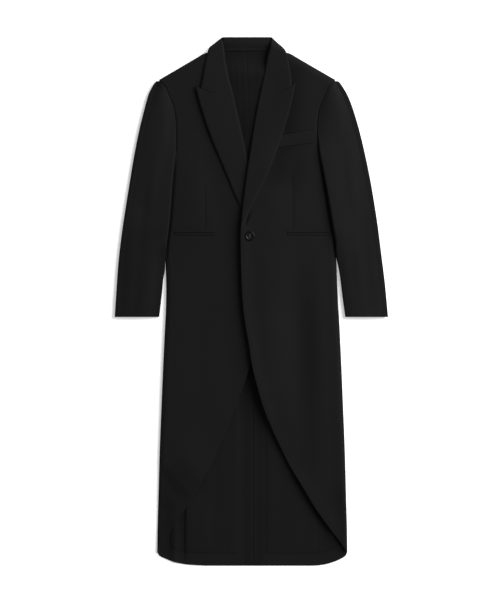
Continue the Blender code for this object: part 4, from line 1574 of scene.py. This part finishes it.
    def _fall(self) -> None:
        """The collar's outer leaf, from one gorge seam round under the back neck to the other."""
        table = self.leaf
        first, last = table.columns["step"][[0, -1]]
        names = table.names.split()[1:]

        def place(u: Array, v: Array) -> Points:
            """The face, by its shares across and along.

            Args:
                u: Columns of the grid.
                v: Rows of the grid.

            Returns:
                X, Y and Z of each point, in mm.
            """
            at = blend(first, last, v)
            here = [table.read(name, at) for name in names]
            fold_x, fold_y, fold_z, crown_z, turn, edge_x, edge_y, edge_z = here
            width = np.hypot(edge_x - fold_x, edge_y - fold_y)
            across = self._across(u, turn, width)
            share = across / width
            turned = blend(fold_z, crown_z, quarter(across / turn))
            near_edge = (across - width) / self.edge_drop_widths[Side.RIGHT] + 1
            dropped = self.edge_drop * smooth(near_edge / 2) * 2 * smooth((edge_z - 12) / 8)
            z = blend(turned, edge_z, np.clip(u - 1, 0, 1)) - dropped
            return blend(fold_x, edge_x, share), blend(fold_y, edge_y, share), z

        columns = joined(np.linspace(0, 1, 13), np.linspace(1, 1.9, 17), np.linspace(1.9, 2, 8))
        finish = self.wardrobe.sewn_with_painted_shading(WOOL, "wool_collar", *self.roll_painted_shade[Side.RIGHT])
        ClothPiece(
            "collar_fall", columns, np.linspace(0, 1, 181), place, grain=Grain.STRIP, edge_round=0.35,
            rests_on=("front_left_cloth", "front_right_cloth", "floor"),
        ).build(finish)

    def _stand(self) -> None:
        """The stand inside the back neck, from the fold down to the neck seam."""
        f = self.form

        def place(u: Array, v: Array) -> Points:
            """The face, by its shares across and along.

            Args:
                u: Columns of the grid.
                v: Rows of the grid.

            Returns:
                X, Y and Z of each point, in mm.
            """
            end = 2 * v - 1
            half = end * (self.stand_half + 5 * u)
            y = self.stand_top_y - self.stand_depth * u
            bow = 3.4 * (1 - np.sin(math.pi * np.minimum(u + 0.15, 1)))
            return half + f.lean(690), y + 0 * v, self.stand_crown_z - bow - 2.2 * end**4

        ClothPiece(
            "collar_stand", np.linspace(0, 1, 17), np.linspace(0, 1, 61), place, wall=self.stand_wall,
            grain=Grain.STRIP, edge_round=0.5, rests_on=("collar_fall_cloth", "back_left_cloth"),
        ).build(self.wardrobe.wool)


@dataclass
class Pockets(SubAssembly):
    """The slanted chest welt and the two lips of each hip pocket."""

    trim: float = 1.2
    trim_gap: float = 0.5
    mouth: float = 0.5
    pocket_y: float = 179.2
    pocket_halves: Sided[Spot] = Sided((98.5, 209.5), (91.0, 197.0))
    welt_corners: tuple[Spot, ...] = ((66, 401.8), (163, 415), (74, 433.4), (163, 449))

    def build(self) -> None:
        """Makes the welt and the lips."""
        self._strip("chest_welt", Side.LEFT, self.welt_corners, 0.7, 15)
        for side in Side:
            inner, outer = self.pocket_halves[side]
            for way, name, puff, width in ((-1, "lower", 0.3, 5.0), (1, "upper", 0.9, 4.0)):
                mouth_y = self.pocket_y + way * self.mouth
                far_y = mouth_y + way * width
                low, high = min(mouth_y, far_y), max(mouth_y, far_y)
                ends = [float(self.form.world_x(side, half, mouth_y)) for half in (inner, outer)]
                corners = ((ends[0], low), (ends[1], low), (ends[0], high), (ends[1], high))
                self._strip(f"pocket_lip_{name}_{side.label}", side, corners, puff, 11)

    def _strip(self, name: str, side: Side, corners: Sequence[Spot], puff: float, rows: int) -> None:
        """A trim piece on a front, moved out from it.

        Args:
            name: The solid that it stands for.
            side: The front that carries it.
            corners: Inner and outer, low then high.
            puff: How far its middle stands above its long edges.
            rows: Rows of points across it.
        """
        f = self.form
        inner_low, outer_low, inner_high, outer_high = (np.array(c, float) for c in corners)

        def place(u: Array, v: Array) -> Points:
            """The face, by its shares across and along.

            Args:
                u: Columns of the grid.
                v: Rows of the grid.

            Returns:
                X, Y and Z of each point, in mm.
            """
            low = blend(inner_low, outer_low, u[..., None])
            high = blend(inner_high, outer_high, u[..., None])
            x, y = np.moveaxis(blend(low, high, v[..., None]), -1, 0)
            rounded = puff * np.sqrt(np.sin(math.pi * np.clip(v, 0, 1)))
            held = 1 - 0.6 * bell(u / 0.02) - 0.6 * bell((u - 1) / 0.02)
            return x, y, f.front_height(side, x, y) + self.trim_gap + self.trim + rounded * held

        ClothPiece(
            name, np.linspace(0, 1, 57), np.linspace(0, 1, rows), place, wall=self.trim, edge_round=0.35,
            grain=Grain.STRIP, rests_on=(f"front_{side.label}_cloth",),
        ).build(self.wardrobe.wool)


@dataclass
class Fastening(SubAssembly):
    """The four-hole button, its thread and the stitched buttonhole that it is fastened through."""

    at: Spot = BUTTON_AT
    radius: float = 12.7
    thickness: float = 3.6
    shank: float = 0.8
    hole_radius: float = 1.3
    hole_spacing: float = 2.6
    turns: int = 72
    profile: tuple[Spot, ...] = (
        (0, 0), (0.7, 0), (0.88, 0.1), (0.97, 0.3), (1, 0.5), (0.985, 0.7), (0.94, 0.88), (0.87, 0.98),
        (0.8, 1.0), (0.73, 0.95), (0.67, 0.8), (0.61, 0.66), (0.5, 0.6), (0.3, 0.56), (0, 0.55),
    )
    hole_length: float = 24.0
    stitch_length: float = 2.4
    stitch_pitch: float = 0.62

    def build(self) -> None:
        """Makes the button, its thread and the buttonhole."""
        button = self._button()
        thread = self._thread()
        stitches = self._buttonhole()
        for piece, slot in ((button, "button"), (thread, "wool"), (stitches, "wool")):
            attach(piece, "root")
        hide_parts("front_button")
        LOG.info("front_button: button, thread and buttonhole")

    def _level(self, x: float, y: float) -> float:
        """Height of the front at a point."""
        return float(self.form.front_height(Side.LEFT, np.array(x), np.array(y)))

    def _base(self) -> float:
        """Height of the front under the button."""
        return self._level(*self.at)

    def _object(self, name: str, shape: bmesh.types.BMesh, finish: bpy.types.Material) -> bpy.types.Object:
        """An object from a bmesh in mm, which is freed.

        Args:
            name: Its name.
            shape: Its bmesh, in mm.
            finish: Its material.

        Returns:
            The object.
        """
        bmesh.ops.scale(shape, verts=shape.verts, vec=(MM, MM, MM))
        bmesh.ops.recalc_face_normals(shape, faces=shape.faces)
        mesh = bpy.data.meshes.new(name)
        shape.to_mesh(mesh)
        shape.free()
        mesh.shade_smooth()
        mesh.materials.append(finish)
        return add_object(name, mesh)

    def _button(self) -> bpy.types.Object:
        """The button, turned from its profile, with its four holes cut.

        Returns:
            The object.
        """
        x, y = self.at
        base = self._base() + self.shank
        disc = bmesh.new()
        verts = [
            disc.verts.new((x + r * self.radius, y, base + h * self.thickness)) for r, h in self.profile
        ]
        edges = [disc.edges.new(pair) for pair in zip(verts, verts[1:])]
        bmesh.ops.spin(
            disc, geom=verts + edges, cent=(x, y, 0), axis=(0, 0, 1), angle=math.tau, steps=self.turns,
            use_merge=True,
        )
        bmesh.ops.remove_doubles(disc, verts=disc.verts, dist=1e-3)
        button = self._object("front_button_turned", disc, self.wardrobe.horn)
        holes = bmesh.new()
        for across in (-self.hole_spacing, self.hole_spacing):
            for along in (-self.hole_spacing, self.hole_spacing):
                bmesh.ops.create_cone(
                    holes, cap_ends=True, segments=24, radius1=self.hole_radius, radius2=self.hole_radius,
                    depth=20, matrix=Matrix.Translation((x + across, y + along, base)),
                )
        cutter = self._object("hole_cutter", holes, self.wardrobe.horn)
        cut = button.modifiers.new("Holes", "BOOLEAN")
        cut.object = cutter
        cut.solver = "EXACT"
        bpy.context.view_layer.update()
        graph = bpy.context.evaluated_depsgraph_get()
        mesh = bpy.data.meshes.new_from_object(button.evaluated_get(graph))
        button.modifiers.clear()
        button.data = mesh
        mesh.set_sharp_from_angle(angle=math.radians(40))
        bpy.data.objects.remove(cutter)
        return button

    @staticmethod
    def _grain(
        shape: bmesh.types.BMesh, centre: Sequence[float], reach: Sequence[float], turn: float = 0.0
    ) -> None:
        """Adds one strand or stitch, a stretched ball of few faces.

        Args:
            shape: The bmesh that takes it, in mm.
            centre: Its middle.
            reach: Its half length, half width and half height.
            turn: Its turn from +X, in radians.
        """
        there = Matrix.LocRotScale(Vector(centre), Euler((0, 0, turn)), Vector(reach))
        bmesh.ops.create_uvsphere(shape, u_segments=8, v_segments=6, radius=1, matrix=there)

    def _thread(self) -> bpy.types.Object:
        """Three strands over each pair of holes, and the shank wound under the button.

        Returns:
            The object.
        """
        x, y = self.at
        top = self._base() + self.shank + 0.55 * self.thickness
        shape = bmesh.new()
        for along in (-self.hole_spacing, self.hole_spacing):
            for strand in (-0.7, 0.0, 0.7):
                centre = (x, y + along + strand, top + 0.35 - 0.15 * abs(strand))
                self._grain(shape, centre, (self.hole_spacing + 0.9, 0.42, 0.5), 0.02 * strand)
        bmesh.ops.create_cone(
            shape, cap_ends=True, segments=16, radius1=2.2, radius2=2.6, depth=self.shank,
            matrix=Matrix.Translation((x, y, self._base() + self.shank / 2)),
        )
        return self._object("front_button_thread", shape, self.wardrobe.thread)

    def _buttonhole(self) -> bpy.types.Object:
        """Close stitches round the slit, with a bar at its inner end.

        Returns:
            The object.
        """
        x, y = self.at
        shape = bmesh.new()
        half_slit = 0.5 + self.stitch_length / 2
        count = round(self.hole_length / self.stitch_pitch)
        for k in range(count + 1):
            across = x - 3 + k * self.stitch_pitch
            for way in (-1, 1):
                place_y = y + way * half_slit
                centre = (across, place_y, self._level(across, place_y) + 0.25)
                self._grain(shape, centre, (0.3, self.stitch_length / 2, 0.32))
        end = x - 3 + self.hole_length + 0.6
        for k in range(-4, 5):
            self._grain(shape, (end + 0.7, y + 0.6 * k, self._level(end, y) + 0.3), (1.0, 0.3, 0.34))
        return self._object("buttonhole_stitching", shape, self.wardrobe.thread)


# ---------------------------------------------------------------- studio


@dataclass
class Studio:
    """The pale floor, the soft light from the upper right and the camera straight above."""

    frame_width: float = 1310.0  # what the picture's width spans at the coat, in mm
    frame_ratio: float = 602 / 500
    centre: Spot = (-3.7, 0.9)
    camera_height: float = 9.0
    key_distance: float = 8.0
    key_azimuth: float = 32.0  # from +X towards +Y, in degrees
    key_elevation: float = 34.0
    key_size: float = 7.4
    key_watts: float = 1490.0
    sky: float = 0.4
    floor_colour: tuple[float, float, float] = (0.82, 0.82, 0.82)
    floor_glow: float = 0.35

    def build(self) -> None:
        """Sets the floor, the light and the camera."""
        self._floor()
        self._light()
        self._camera()
        LOG.info("studio: floor, light and camera")

    def _floor(self) -> None:
        """A wide pale plane just under the coat."""
        shape = bmesh.new()
        bmesh.ops.create_grid(shape, x_segments=1, y_segments=1, size=20)
        bmesh.ops.translate(shape, verts=shape.verts, vec=(0, 0, -0.0005))
        mesh = bpy.data.meshes.new("floor")
        shape.to_mesh(mesh)
        shape.free()
        finish, sketch, shader = new_finish("pale_floor", self.floor_colour)
        sketch.feed(
            shader, Base_Color=(*self.floor_colour, 1), Roughness=0.9, Specular_IOR_Level=0.1,
            Emission_Color=(1, 1, 1, 1), Emission_Strength=self.floor_glow,
        )
        mesh.materials.append(finish)
        floor = add_object("floor", mesh)

    def _light(self) -> None:
        """One large soft lamp and an even sky."""
        azimuth, elevation = math.radians(self.key_azimuth), math.radians(self.key_elevation)
        level = math.cos(elevation)
        way = Vector((level * math.cos(azimuth), level * math.sin(azimuth), math.sin(elevation)))
        data = bpy.data.lights.new("key_lamp", "AREA")
        data.shape = "DISK"
        data.size = self.key_size
        data.energy = self.key_watts
        lamp = add_object("key_lamp", data)
        lamp.location = way * self.key_distance
        lamp.rotation_euler = way.to_track_quat("Z", "Y").to_euler()
        world = bpy.data.worlds.new("studio")
        world.use_nodes = True
        sky = world.node_tree.nodes["Background"]
        sky.inputs["Color"].default_value = (1, 1, 1, 1)
        sky.inputs["Strength"].default_value = self.sky
        bpy.context.scene.world = world

    def _camera(self) -> None:
        """A long lens looking straight down, with the collar at the top of the picture."""
        data = bpy.data.cameras.new("camera")
        data.sensor_width = 36
        data.lens = 36 * self.camera_height / (self.frame_width * self.frame_ratio * MM)
        data.clip_end = 100
        camera = add_object("camera", data)
        camera.location = (self.centre[0] * MM, self.centre[1] * MM, self.camera_height)
        scene = bpy.context.scene
        scene.camera = camera
        scene.view_settings.view_transform = "Standard"
        scene.view_settings.look = "None"


def main() -> None:
    """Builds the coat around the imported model."""
    logging.basicConfig(level=logging.INFO, format="%(name)s: %(message)s")
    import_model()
    form, wardrobe = CoatForm(), Wardrobe()
    Studio().build()
    for sub_assembly in (Back, Fronts, Sleeves, Collar, Pockets, Fastening):
        sub_assembly(form, wardrobe).build()


if __name__ == "__main__":
    main()
